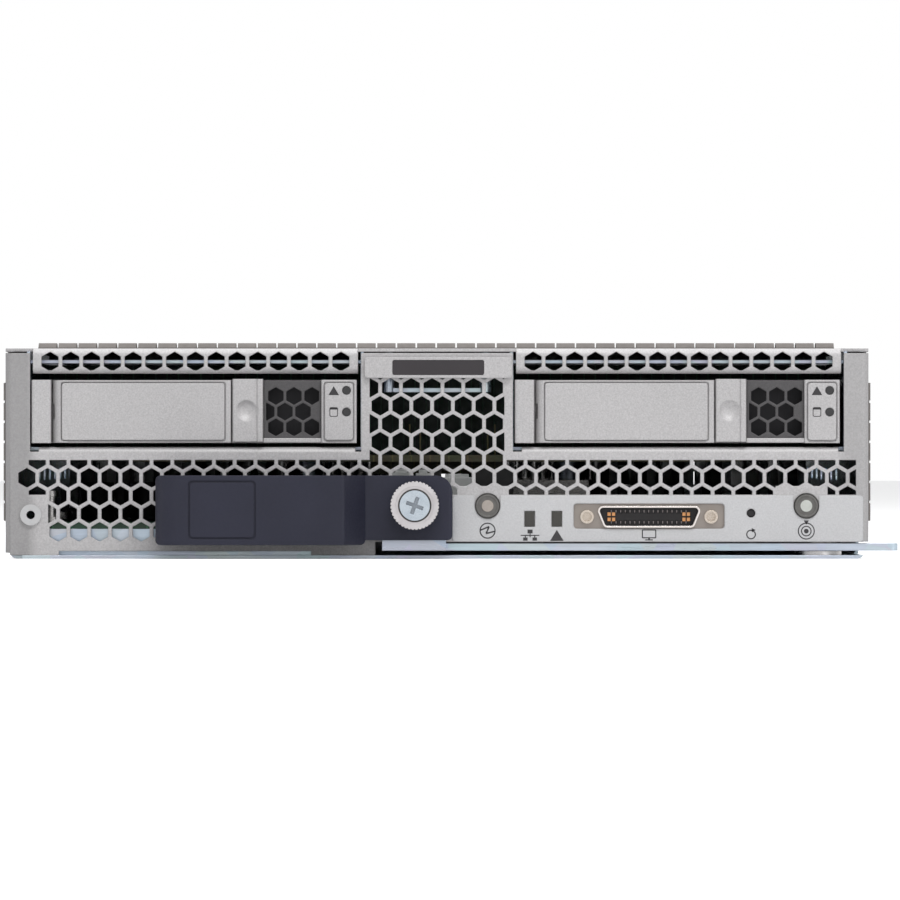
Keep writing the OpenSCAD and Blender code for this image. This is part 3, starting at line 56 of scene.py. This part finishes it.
CAMERA_X = 3.06         # mm
CAMERA_Z = 25.58        # mm
FRONT = (0.0, -0.30, 0.03)


# ---- Shader building --------------------------------------------------------

SOCKETS = {"base": "Base Color", "metallic": "Metallic", "rough": "Roughness",
           "coat": "Coat Weight", "coat_rough": "Coat Roughness", "ior": "IOR",
           "transmission": "Transmission Weight", "specular": "Specular IOR Level"}


class Shader:
    """A small builder round one material's node tree."""

    def __init__(self, name):
        self.mat = bpy.data.materials.new(name)
        self.mat.use_nodes = True
        self.tree = self.mat.node_tree
        self.bsdf = self.tree.nodes["Principled BSDF"]
        self.coords = self.add("ShaderNodeTexCoord").outputs["Object"]

    def add(self, kind, **settings):
        node = self.tree.nodes.new(kind)
        for key, value in settings.items():
            setattr(node, key, value)
        return node

    def join(self, source, target):
        self.tree.links.new(source, target)

    def put(self, **sockets):
        for key, value in sockets.items():
            socket = self.bsdf.inputs[SOCKETS[key]]
            socket.default_value = (*value, 1.0) if isinstance(value, tuple) else value

    def stretch(self, scale):
        mapping = self.add("ShaderNodeMapping")
        mapping.inputs["Scale"].default_value = scale
        self.join(self.coords, mapping.inputs["Vector"])
        return mapping.outputs["Vector"]

    def noise(self, scale, detail=3.0, rough=0.5, vector=None):
        node = self.add("ShaderNodeTexNoise")
        node.inputs["Scale"].default_value = scale
        node.inputs["Detail"].default_value = detail
        node.inputs["Roughness"].default_value = rough
        self.join(vector or self.coords, node.inputs["Vector"])
        return node.outputs["Fac"]

    def cells(self, scale):
        node = self.add("ShaderNodeTexVoronoi", feature="F1")
        node.inputs["Scale"].default_value = scale
        self.join(self.coords, node.inputs["Vector"])
        return node.outputs["Color"]

    def spread(self, fac, low, high, start=0.3, end=0.7):
        """Maps a factor from start..end onto low..high."""
        node = self.add("ShaderNodeMapRange")
        for key, value in (("From Min", start), ("From Max", end), ("To Min", low), ("To Max", high)):
            node.inputs[key].default_value = value
        self.join(fac, node.inputs["Value"])
        return node.outputs["Result"]

    def ramp(self, fac, *stops):
        node = self.add("ShaderNodeValToRGB")
        element = node.color_ramp.elements
        while len(element) < len(stops):
            element.new(0.5)
        for item, (place, colour) in zip(element, stops):
            item.position = place
            item.color = (*colour, 1.0)
        self.join(fac, node.inputs["Fac"])
        return node.outputs["Color"]

    def blend(self, fac, a, b, mode="MIX"):
        node = self.add("ShaderNodeMix", data_type="RGBA", blend_type=mode)
        for value, index in ((fac, 0), (a, 6), (b, 7)):
            if isinstance(value, tuple):
                node.inputs[index].default_value = (*value, 1.0)
            elif isinstance(value, float):
                node.inputs[index].default_value = value
            else:
                self.join(value, node.inputs[index])
        return node.outputs[2]

    def along(self, axis):
        """The object coordinate along one axis, in metres."""
        split = self.add("ShaderNodeSeparateXYZ")
        self.join(self.coords, split.inputs[0])
        return split.outputs[axis]

    def radius(self, x, z):
        """Distance from the line through (x, z) that runs along Y."""
        shift = self.add("ShaderNodeVectorMath", operation="SUBTRACT")
        shift.inputs[1].default_value = (x, 0.0, z)
        flat = self.add("ShaderNodeVectorMath", operation="MULTIPLY")
        flat.inputs[1].default_value = (1.0, 0.0, 1.0)
        size = self.add("ShaderNodeVectorMath", operation="LENGTH")
        self.join(self.coords, shift.inputs[0])
        self.join(shift.outputs[0], flat.inputs[0])
        self.join(flat.outputs[0], size.inputs[0])
        return size.outputs["Value"]

    def bump(self, fac, strength, distance, edge=0.0):
        node = self.add("ShaderNodeBump")
        node.inputs["Strength"].default_value = strength
        node.inputs["Distance"].default_value = distance
        self.join(fac, node.inputs["Height"])
        if edge:
            bevel = self.add("ShaderNodeBevel", samples=4)
            bevel.inputs["Radius"].default_value = edge
            self.join(bevel.outputs["Normal"], node.inputs["Normal"])
        self.join(node.outputs["Normal"], self.bsdf.inputs["Normal"])

    def colour(self, source):
        self.join(source, self.bsdf.inputs["Base Color"])

    def rough(self, source):
        self.join(source, self.bsdf.inputs["Roughness"])


def tint(colour, factor):
    return tuple(min(1.0, c * factor) for c in colour)


# ---- Finishes ---------------------------------------------------------------

def powder_paint(name, colour, sparkle=0.26, painted_shade_columns=False):
    """Fine metallic powder paint: grain, tiny flakes and slight unevenness; optionally painted shade on
    both ends of the panel.
    """
    s = Shader(name)
    s.put(metallic=0.2, coat=0.04, coat_rough=0.5)
    grain = s.noise(2600.0, 4.0, 0.75)
    cloud = s.noise(45.0, 3.0)
    fine = s.ramp(grain, (0.32, tint(colour, 1.0 - sparkle)), (0.68, tint(colour, 1.0 + sparkle)))
    mixed = s.blend(0.35, fine, s.ramp(cloud, (0.3, tint(colour, 0.93)), (0.7, tint(colour, 1.05))))
    if painted_shade_columns:
        # painted shade: both ends of the panel are darkened, the left one more, as light falls from the
        # right
        column_shade = s.add("ShaderNodeMath", operation="MAXIMUM")
        s.join(s.spread(s.along(0), 0.5, 0.0, -0.0965, -0.0940), column_shade.inputs[0])
        s.join(s.spread(s.along(0), 0.0, 0.28, 0.0940, 0.0965), column_shade.inputs[1])
        mixed = s.blend(column_shade.outputs[0], mixed, tint(colour, 0.35), "MIX")
    s.colour(mixed)
    s.rough(s.spread(grain, 0.38, 0.56))
    s.bump(grain, 0.45, 0.00008, edge=0.0004)
    return s.mat


def zinc_sheet(name, colour):
    """Zinc-plated sheet with faint crystals and handling streaks."""
    s = Shader(name)
    s.put(metallic=1.0)
    streak = s.noise(60.0, 4.0, 0.6, s.stretch((1.0, 14.0, 14.0)))
    base = s.ramp(streak, (0.3, tint(colour, 0.86)), (0.7, tint(colour, 1.08)))
    s.colour(s.blend(0.12, base, s.cells(SPANGLE_SCALE), "SOFT_LIGHT"))
    s.rough(s.spread(streak, 0.22, 0.42))
    s.bump(s.noise(900.0), 0.15, 0.00004, edge=0.00018)
    return s.mat


def brushed_metal(name, colour, rough=0.28, grain=(1.0, 40.0, 40.0)):
    s = Shader(name)
    s.put(metallic=1.0)
    line = s.noise(300.0, 4.0, 0.65, s.stretch(grain))
    s.colour(s.ramp(line, (0.3, tint(colour, 0.86)), (0.7, tint(colour, 1.1))))
    s.rough(s.spread(line, rough - 0.08, rough + 0.14))
    s.bump(line, 0.2, 0.00003, edge=0.00012)
    return s.mat


def moulded(name, colour, rough=0.5, grain=1800.0, depth=0.00005, uneven=0.10, specular=0.5):
    """Moulded plastic with a fine spark-eroded texture."""
    s = Shader(name)
    s.put(specular=specular)
    texture = s.noise(grain, 4.0, 0.6)
    cloud = s.noise(70.0, 2.0)
    s.colour(s.ramp(cloud, (0.3, tint(colour, 1.0 - uneven)), (0.7, tint(colour, 1.0 + uneven))))
    s.rough(s.spread(texture, rough - 0.07, rough + 0.1))
    s.bump(texture, 0.3, depth, edge=0.00025)
    return s.mat


def circuit(name, colour):
    """Solder mask over faint copper tracks and tinned pads."""
    s = Shader(name)
    tracks = s.add("ShaderNodeTexBrick", offset=0.37, squash=1.6)
    for key, value in (("Scale", 180.0), ("Mortar Size", 0.035),
                       ("Color1", (*tint(colour, 0.85), 1.0)), ("Color2", (*tint(colour, 1.05), 1.0)),
                       ("Mortar", (*tint(colour, 1.9), 1.0))):
        tracks.inputs[key].default_value = value
    s.join(s.coords, tracks.inputs["Vector"])
    s.colour(s.blend(0.16, tracks.outputs["Color"], s.cells(420.0), "SOFT_LIGHT"))
    s.rough(s.spread(s.noise(500.0), 0.28, 0.45))
    s.bump(tracks.outputs["Fac"], 0.2, 0.00004)
    return s.mat


def lens(name, colour, transmission):
    s = Shader(name)
    haze = s.noise(350.0)
    s.put(transmission=transmission, ior=1.49)
    s.colour(s.ramp(haze, (0.3, tint(colour, 0.85)), (0.7, colour)))
    s.rough(s.spread(haze, 0.10, 0.26))
    s.bump(haze, 0.1, 0.00005, edge=0.00015)
    return s.mat


def ringed(name, x, z, inner, outer, edge_r, metallic, rough, head_y=None):
    """A turned part seen end on: one finish inside edge_r of its axis and another outside."""
    s = Shader(name)
    away = s.radius(x, z)
    mask = s.spread(away, 0.0, 1.0, edge_r - 0.00008, edge_r + 0.00008)
    worn = s.noise(500.0, 4.0, 0.6)
    base = s.blend(mask, inner, outer)
    if head_y is not None:
        # dark joint round the screw's head, and shade in its cross recess
        rise = s.spread(away, 0.0, 1.0, edge_r - 0.0003, edge_r - 0.00012)
        fall = s.spread(away, 1.0, 0.0, edge_r + 0.00008, edge_r + 0.00026)
        joint = s.add("ShaderNodeMath", operation="MULTIPLY")
        s.join(rise, joint.inputs[0])
        s.join(fall, joint.inputs[1])
        base = s.blend(joint.outputs[0], base, (0.05, 0.045, 0.045))
        sunk = s.add("ShaderNodeMath", operation="MULTIPLY")
        s.join(s.spread(s.along(1), 0.0, 0.62, head_y + 0.00008, head_y + 0.00022), sunk.inputs[0])
        s.join(s.spread(away, 1.0, 0.0, 0.0029, 0.0031), sunk.inputs[1])
        base = s.blend(sunk.outputs[0], base, (0.10, 0.11, 0.13))
    wear = s.ramp(worn, (0.3, (0.2, 0.2, 0.2)), (0.7, (0.9, 0.9, 0.9)))
    s.colour(s.blend(0.25, base, wear, "SOFT_LIGHT"))
    s.join(s.spread(mask, metallic[0], metallic[1], 0.0, 1.0), s.bsdf.inputs["Metallic"])
    s.rough(s.spread(mask, rough[0], rough[1], 0.0, 1.0))
    s.bump(worn, 0.15, 0.00004, edge=0.00012)
    return s.mat


def shell_metal(name, face_y):
    """Bright nickel on the port's rim, dull beige plate behind the panel's face."""
    s = Shader(name)
    depth = s.spread(s.along(1), 0.0, 1.0, face_y + 0.0004, face_y + 0.0010)
    line = s.noise(300.0, 4.0, 0.65, s.stretch((1.0, 30.0, 30.0)))
    bright = s.ramp(line, (0.3, (0.80, 0.74, 0.70)), (0.7, (0.95, 0.89, 0.85)))
    s.colour(s.blend(depth, bright, (0.34, 0.305, 0.28)))
    s.put(metallic=0.9)
    s.rough(s.spread(depth, 0.18, 0.42, 0.0, 1.0))
    s.bump(line, 0.2, 0.00003, edge=0.00012)
    return s.mat


def centre(node):
    low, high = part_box(node)
    return [(a + b) / 2 for a, b in zip(low, high)]


FACE_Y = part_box("front_overlay")[1][1]
PAINT = (0.52, 0.508, 0.512)
FINISHES = {
    "paint": powder_paint("powder_paint", PAINT),
    "overlay": powder_paint("overlay_print", (0.59, 0.59, 0.60), 0.14),
    "galvanised": zinc_sheet("zinc_sheet", (0.52, 0.585, 0.65)),
    "spring_steel": moulded("spring_steel", (0.15, 0.134, 0.124), 0.62, 900.0, 0.00003),
    "alloy": brushed_metal("nickel", (0.60, 0.58, 0.57), 0.24),
    "dark_plastic": moulded("slate_plastic", (0.022, 0.023, 0.040), 0.5, specular=0.3),
    "black_plastic": moulded("black_plastic", (0.016, 0.014, 0.016), 0.4),
    "white_plastic": moulded("white_plastic", (0.70, 0.71, 0.70), 0.45),
    "dark_grille": powder_paint("gunmetal", (0.085, 0.081, 0.084)),
    "circuit_board": circuit("green_board", (0.016, 0.062, 0.032)),
    "storage_board": circuit("olive_board", (0.055, 0.050, 0.014)),
    # painted shade: the disk case is made near black so the drive grilles show shade behind them, not a
    # lit disk front
    "disk_case": brushed_metal("disk_case", (0.045, 0.044, 0.047), 0.42, (20.0, 1.0, 1.0)),
    "components": moulded("component_resin", (0.03, 0.03, 0.032), 0.5),
}
power, locator, screw = centre("power_button"), centre("locator_button"), centre("thumbscrew")
BUTTON_LOOK = {"outer": (0.16, 0.155, 0.148), "edge_r": 0.0014,
               "metallic": (0.0, 0.6), "rough": (0.12, 0.3)}
SPECIAL = {
    # the front panel's paint carries painted shade on its two end columns
    "front_panel": powder_paint("panel_paint_with_painted_shade", PAINT, painted_shade_columns=True),
    "power_button": ringed("power_button", power[0], power[2], (0.42, 0.37, 0.33), **BUTTON_LOOK),
    "locator_button": ringed("locator_button", locator[0], locator[2], (0.58, 0.60, 0.56), **BUTTON_LOOK),
    "thumbscrew": ringed("thumbscrew", screw[0], screw[2], (0.52, 0.58, 0.64), (0.60, 0.575, 0.585),
                         0.00375, (1.0, 1.0), (0.24, 0.3), head_y=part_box("thumbscrew")[0][1]),
    "panel_rivet": moulded("rivet_head", (0.58, 0.58, 0.585), 0.35, 900.0, 0.00003, 0.05),
    "console_shell": shell_metal("port_shell", FACE_Y),
    "console_jack_posts": brushed_metal("jack_posts", (0.66, 0.58, 0.50), 0.2),
    "status_light_pipes": lens("status_windows", (0.055, 0.052, 0.046), 0.0),
    "drive_1_light_pipes": lens("drive_1_lights", (0.045, 0.044, 0.046), 0.1),
    "drive_2_light_pipes": lens("drive_2_lights", (0.045, 0.044, 0.046), 0.1),
}


def finish_nodes():
    """Gives every carried-over node its own finish, or else the finish of its slot."""
    slots = {part["node"]: part["material_slot"] for part in frame["record"]["subparts"]}
    for name, node in NODES.items():
        node.data.materials.clear()
        node.data.materials.append(SPECIAL.get(name) or FINISHES[slots[name]])


# ---- Small added pieces -----------------------------------------------------

def circle_points(x, z, r, count=40, start=0.0, end=360.0):
    steps = count if end - start >= 360.0 else count + 1
    angles = [math.radians(start + (end - start) * i / count) for i in range(steps)]
    return [(x + r * math.cos(a), z + r * math.sin(a)) for a in angles]


def rounded_points(x0, x1, z0, z1, r):
    corners = ((x1 - r, z0 + r, 270), (x1 - r, z1 - r, 0), (x0 + r, z1 - r, 90), (x0 + r, z0 + r, 180))
    return [point for x, z, a in corners for point in circle_points(x, z, r, 6, a, a + 90)]


class Marks:
    """Thin printed or fitted shapes in the XZ plane, gathered in one mesh. All in millimetres."""

    def __init__(self, y_face, thickness):
        self.y1 = y_face
        self.y0 = y_face - thickness
        self.bm = bmesh.new()

    def solid(self, points):
        front = [self.bm.verts.new((x * MM, self.y0 * MM, z * MM)) for x, z in points]
        back = [self.bm.verts.new((x * MM, self.y1 * MM, z * MM)) for x, z in points]
        self.bm.faces.new(front)
        self.bm.faces.new(list(reversed(back)))
        for i in range(len(points)):
            j = (i + 1) % len(points)
            self.bm.faces.new((front[j], front[i], back[i], back[j]))

    def loop(self, outer, inner):
        """A closed band between two outlines with the same number of points."""
        rings = [[self.bm.verts.new((x * MM, y * MM, z * MM)) for x, z in line]
                 for line in (outer, inner) for y in (self.y0, self.y1)]
        for i in range(len(outer)):
            j = (i + 1) % len(outer)
            for a, b in ((0, 2), (2, 3), (3, 1), (1, 0)):
                self.bm.faces.new((rings[a][i], rings[a][j], rings[b][j], rings[b][i]))

    def ring(self, x, z, r, width):
        self.loop(circle_points(x, z, r), circle_points(x, z, r - width))

    def bar(self, x0, x1, z0, z1):
        self.solid([(x0, z0), (x1, z0), (x1, z1), (x0, z1)])

    def stroke(self, a, b, width):
        run = Vector((b[0] - a[0], b[1] - a[1])).normalized() * width / 2
        side = Vector((-run.y, run.x))
        self.solid([(a[0] - side.x, a[1] - side.y), (b[0] - side.x, b[1] - side.y),
                    (b[0] + side.x, b[1] + side.y), (a[0] + side.x, a[1] + side.y)])

    def finish(self, name, material, body):
        bmesh.ops.recalc_face_normals(self.bm, faces=self.bm.faces)
        return add_piece(name, self.bm, material, body)


def add_piece(name, bm, material, body):
    mesh = bpy.data.meshes.new(name)
    bm.to_mesh(mesh)
    bm.free()
    piece = bpy.data.objects.new(name, mesh)
    bpy.context.collection.objects.link(piece)
    mesh.materials.append(material)
    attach(piece, body)
    return piece


def box_mesh(bm, low, high):
    made = bmesh.ops.create_cube(bm, size=1.0)["verts"]
    for vert in made:
        vert.co = [MM * (a + (b - a) * (c + 0.5)) for a, b, c in zip(low, high, vert.co)]


INK = moulded("printing_ink", (0.035, 0.033, 0.036), 0.5, 2600.0, 0.00002, 0.12)


def status_triangle(marks, x, z, w, h):
    marks.solid([(x - w / 2, z - h / 2), (x + w / 2, z - h / 2), (x, z + h / 2)])


def overlay_marks():
    """Pictograms under the front controls."""
    x_of = {name: centre(node)[0] / MM for name, node in (
        ("power", "power_button"), ("locator", "locator_button"), ("port", "console_shell"),
        ("lights", "status_light_pipes"), ("reset", "reset_button"))}
    marks = Marks(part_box("front_overlay")[0][1] / MM, MARK_T)
    x, z = x_of["power"], 6.6
    marks.ring(x, z, 1.9, 0.28)
    bolt = ((-1.7, 0.1), (0.36, 0.95), (-0.36, -0.68), (1.7, -0.15))
    for a, b in zip(bolt, bolt[1:]):
        marks.stroke((x + a[0], z + a[1]), (x + b[0], z + b[1]), 0.34)
    x, z = x_of["lights"] - 3.1, ICON_Z
    marks.bar(x - 0.6, x + 0.6, z + 0.45, z + 1.35)
    marks.bar(x - 0.12, x + 0.12, z - 0.45, z + 0.45)
    marks.bar(x - 2.2, x + 2.2, z - 0.12, z + 0.12)
    for side in (-1.1, 1.1):
        marks.bar(x + side - 0.52, x + side + 0.52, z - 1.25, z - 0.5)
        marks.bar(x + side - 0.12, x + side + 0.12, z - 0.5, z)
    status_triangle(marks, x_of["lights"] + 3.2, ICON_Z, 3.2, 2.6)
    x, z = x_of["port"], 5.6
    marks.loop(rounded_points(x - 1.7, x + 1.7, z - 0.8, z + 1.3, 0.25),
               rounded_points(x - 1.45, x + 1.45, z - 0.55, z + 1.05, 0.15))
    marks.bar(x - 0.9, x + 0.9, z - 1.3, z - 1.05)
    marks.bar(x - 0.2, x + 0.2, z - 1.1, z - 0.75)
    x, z = x_of["reset"], 5.7
    marks.loop(circle_points(x, z, 1.15, 30, 60, 390), circle_points(x, z, 0.87, 30, 60, 390))
    marks.solid([(x + 0.15, z + 1.5), (x + 1.1, z + 1.05), (x + 0.2, z + 0.5)])
    x, z = x_of["locator"], 6.5
    for r in (2.0, 1.25):
        marks.ring(x, z, r, 0.26)
    marks.solid(circle_points(x, z, 0.55))
    marks.solid([(x - 0.6, z + 2.5), (x, z + 1.5), (x + 0.6, z + 2.5)])
    marks.finish("overlay_pictograms", INK, "chassis")


def drive_marks(number):
    """A plain triangle and a disk pictogram to the left of the two lights."""
    low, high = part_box(f"drive_{number}_light_pipes")
    light_x, low_z = (low[0] + high[0]) / 2 / MM, low[2] / MM + 1.05
    high_z = high[2] / MM - 1.05
    marks = Marks(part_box(f"drive_{number}_bezel")[0][1] / MM, MARK_T)
    x = light_x - 3.0
    status_triangle(marks, x, high_z, 2.5, 2.1)
    marks.loop(rounded_points(x - 1.0, x + 1.0, low_z - 1.15, low_z + 1.1, 0.4),
               rounded_points(x - 0.82, x + 0.82, low_z - 0.97, low_z + 0.92, 0.3))
    marks.bar(x - 0.85, x + 0.85, low_z + 0.55, low_z + 1.0)
    marks.finish(f"drive_{number}_pictograms", INK, f"drive_{number}")


def disk_label(number):
    """A bare paper label on the disk's lid, guessed: the front view doesn't show it."""
    low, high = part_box(f"drive_{number}_disk")
    bm = bmesh.new()
    box_mesh(bm, (low[0] / MM + 8, low[1] / MM + 70, high[2] / MM - 0.02),
             (high[0] / MM - 8, high[1] / MM - 6, high[2] / MM + 0.06))
    paper = moulded("label_paper", (0.6, 0.6, 0.58), 0.6)
    add_piece(f"drive_{number}_label", bm, paper, f"drive_{number}")


def tag_strip():
    """The dark bare strip on the asset tag's front."""
    low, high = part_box("asset_tag")
    x, z = (low[0] + high[0]) / 2 / MM, (low[2] + high[2]) / 2 / MM
    marks = Marks(low[1] / MM, STRIP_T)
    marks.solid(rounded_points(x - 10.8, x + 10.8, z - 1.78, z + 1.78, 0.5))
    dark = moulded("strip_print", (0.030, 0.025, 0.029), 0.4)
    marks.finish("tag_strip", dark, "asset_tag")


def port_contacts():
    """Gold contacts at both ends of the console port and a fine row along it."""
    low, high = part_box("console_contacts")
    x, z, y = (low[0] + high[0]) / 2 / MM, (low[2] + high[2]) / 2 / MM, low[1] / MM
    bm = bmesh.new()
    for side in (-1, 1):
        for i in range(2):
            for row in (-0.62, 0.62):
                cx = x + side * (9.35 - 1.05 * i)
                box_mesh(bm, (cx - 0.38, y - 0.6, z + row - 0.42), (cx + 0.38, y + 0.02, z + row + 0.42))
    gold = brushed_metal("contact_gold", (0.72, 0.36, 0.16), 0.3)
    add_piece("port_end_contacts", bm, gold, "chassis")
    bm = bmesh.new()
    for i in range(-8, 9):
        for row in (-1.3, 1.3):
            cx = x + i * 1.1
            box_mesh(bm, (cx - 0.13, y + 0.1, z + row - 0.3), (cx + 0.13, y + 0.5, z + row + 0.3))
    tin = brushed_metal("contact_tin", (0.30, 0.27, 0.27), 0.35)
    add_piece("port_row_contacts", bm, tin, "chassis")


def inner_connector():
    """White connectors glimpsed through the vents, and guessed black blocks, taken for board sockets,
    that give the painted shade seen through the vents.
    """
    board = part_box("motherboard")
    z0, y0 = board[1][2] / MM, board[0][1] / MM + 9
    bm = bmesh.new()
    for x0, x1, top in ((-10.6, -6.4, 21.2), (-5.0, -1.6, 21.0), (1.2, 8.2, 19.9)):
        box_mesh(bm, (x0, y0, z0), (x1, y0 + 4, top - 0.9))
        box_mesh(bm, (x0 + 0.7, y0 + 0.5, top - 0.95), (x1 - 0.7, y0 + 3.5, top))
    add_piece("board_header", bm, FINISHES["white_plastic"], "chassis")
    bm = bmesh.new()
    # painted shade: black blocks that darken the view through the vents; plausible as board sockets
    for x0, x1 in ((-1.2, 1.0), (8.4, 18.0)):
        box_mesh(bm, (x0, y0 + 6, z0), (x1, y0 + 10, 21.2))
    add_piece("board_sockets_as_painted_shade", bm, FINISHES["black_plastic"], "chassis")


# ---- Studio -----------------------------------------------------------------

def studio_floor():
    half = FLOOR_HALF
    mesh = bpy.data.meshes.new("floor")
    mesh.from_pydata([(-half, -half, 0), (half, -half, 0), (half, half, 0), (-half, half, 0)],
                     [], [(0, 1, 2, 3)])
    floor = bpy.data.objects.new("floor", mesh)
    bpy.context.collection.objects.link(floor)
    s = Shader("pale_floor")
    s.put(base=(FLOOR_WHITE,) * 3, rough=0.9, specular=0.1)
    path = s.add("ShaderNodeLightPath")
    glow = s.add("ShaderNodeEmission")
    total = s.add("ShaderNodeAddShader")
    glow.inputs["Color"].default_value = (FLOOR_GLOW, FLOOR_GLOW, FLOOR_GLOW, 1.0)
    s.join(path.outputs["Is Camera Ray"], glow.inputs["Strength"])
    s.join(s.bsdf.outputs["BSDF"], total.inputs[0])
    s.join(glow.outputs["Emission"], total.inputs[1])
    s.join(total.outputs["Shader"], s.tree.nodes["Material Output"].inputs["Surface"])
    mesh.materials.append(s.mat)


def studio_world(fill_strength):
    """White to the camera and in reflections, a softer fill for everything else."""
    world = bpy.data.worlds.new("studio")
    bpy.context.scene.world = world
    world.use_nodes = True
    tree = world.node_tree
    tree.nodes.clear()
    path = tree.nodes.new("ShaderNodeLightPath")
    seen = path.outputs["Is Camera Ray"]
    for ray in ("Is Glossy Ray", "Is Transmission Ray"):
        either = tree.nodes.new("ShaderNodeMath")
        either.operation = "MAXIMUM"
        tree.links.new(seen, either.inputs[0])
        tree.links.new(path.outputs[ray], either.inputs[1])
        seen = either.outputs[0]
    white = tree.nodes.new("ShaderNodeBackground")
    white.inputs["Color"].default_value = (1.0, 1.0, 1.0, 1.0)
    white.inputs["Strength"].default_value = 1.0
    fill = tree.nodes.new("ShaderNodeBackground")
    fill.inputs["Color"].default_value = (0.97, 0.98, 1.0, 1.0)
    fill.inputs["Strength"].default_value = fill_strength
    mix = tree.nodes.new("ShaderNodeMixShader")
    output = tree.nodes.new("ShaderNodeOutputWorld")
    tree.links.new(seen, mix.inputs[0])
    tree.links.new(fill.outputs[0], mix.inputs[1])
    tree.links.new(white.outputs[0], mix.inputs[2])
    tree.links.new(mix.outputs[0], output.inputs["Surface"])


def softbox(name, place, target, size, power):
    lamp = bpy.data.lights.new(name, "AREA")
    lamp.shape = "RECTANGLE"
    lamp.size, lamp.size_y = size
    lamp.energy = power
    rig = bpy.data.objects.new(name, lamp)
    bpy.context.collection.objects.link(rig)
    rig.location = place
    rig.rotation_mode = "QUATERNION"
    rig.rotation_quaternion = (Vector(target) - Vector(place)).to_track_quat("-Z", "Y")


def front_camera():
    """A long lens square to the panel, with the panel across most of the view."""
    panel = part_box("front_panel")
    view_w = (panel[1][0] - panel[0][0]) * VIEW_MARGIN
    camera = bpy.data.cameras.new("camera")
    camera.sensor_width = 36.0
    camera.lens = camera.sensor_width * CAMERA_DISTANCE / view_w
    camera.clip_end = 50.0
    rig = bpy.data.objects.new("camera", camera)
    bpy.context.collection.objects.link(rig)
    rig.location = (CAMERA_X * MM, panel[0][1] - CAMERA_DISTANCE, CAMERA_Z * MM)
    rig.rotation_euler = (math.radians(90), 0, 0)
    bpy.context.scene.camera = rig


finish_nodes()
overlay_marks()
for number in (1, 2):
    drive_marks(number)
    disk_label(number)
tag_strip()
port_contacts()
inner_connector()

studio_floor()
studio_world(WORLD_FILL)
softbox("key", (0.25, -1.35, 1.5), FRONT, (1.2, 0.7), 17.0)
softbox("fill", (1.1, -1.8, 0.5), FRONT, (0.8, 1.2), 3.0)
softbox("top", (0.0, 0.2, 1.7), (0.0, -0.1, 0.0), (1.6, 1.2), 16.0)
front_camera()
bpy.context.scene.view_settings.view_transform = "Standard"
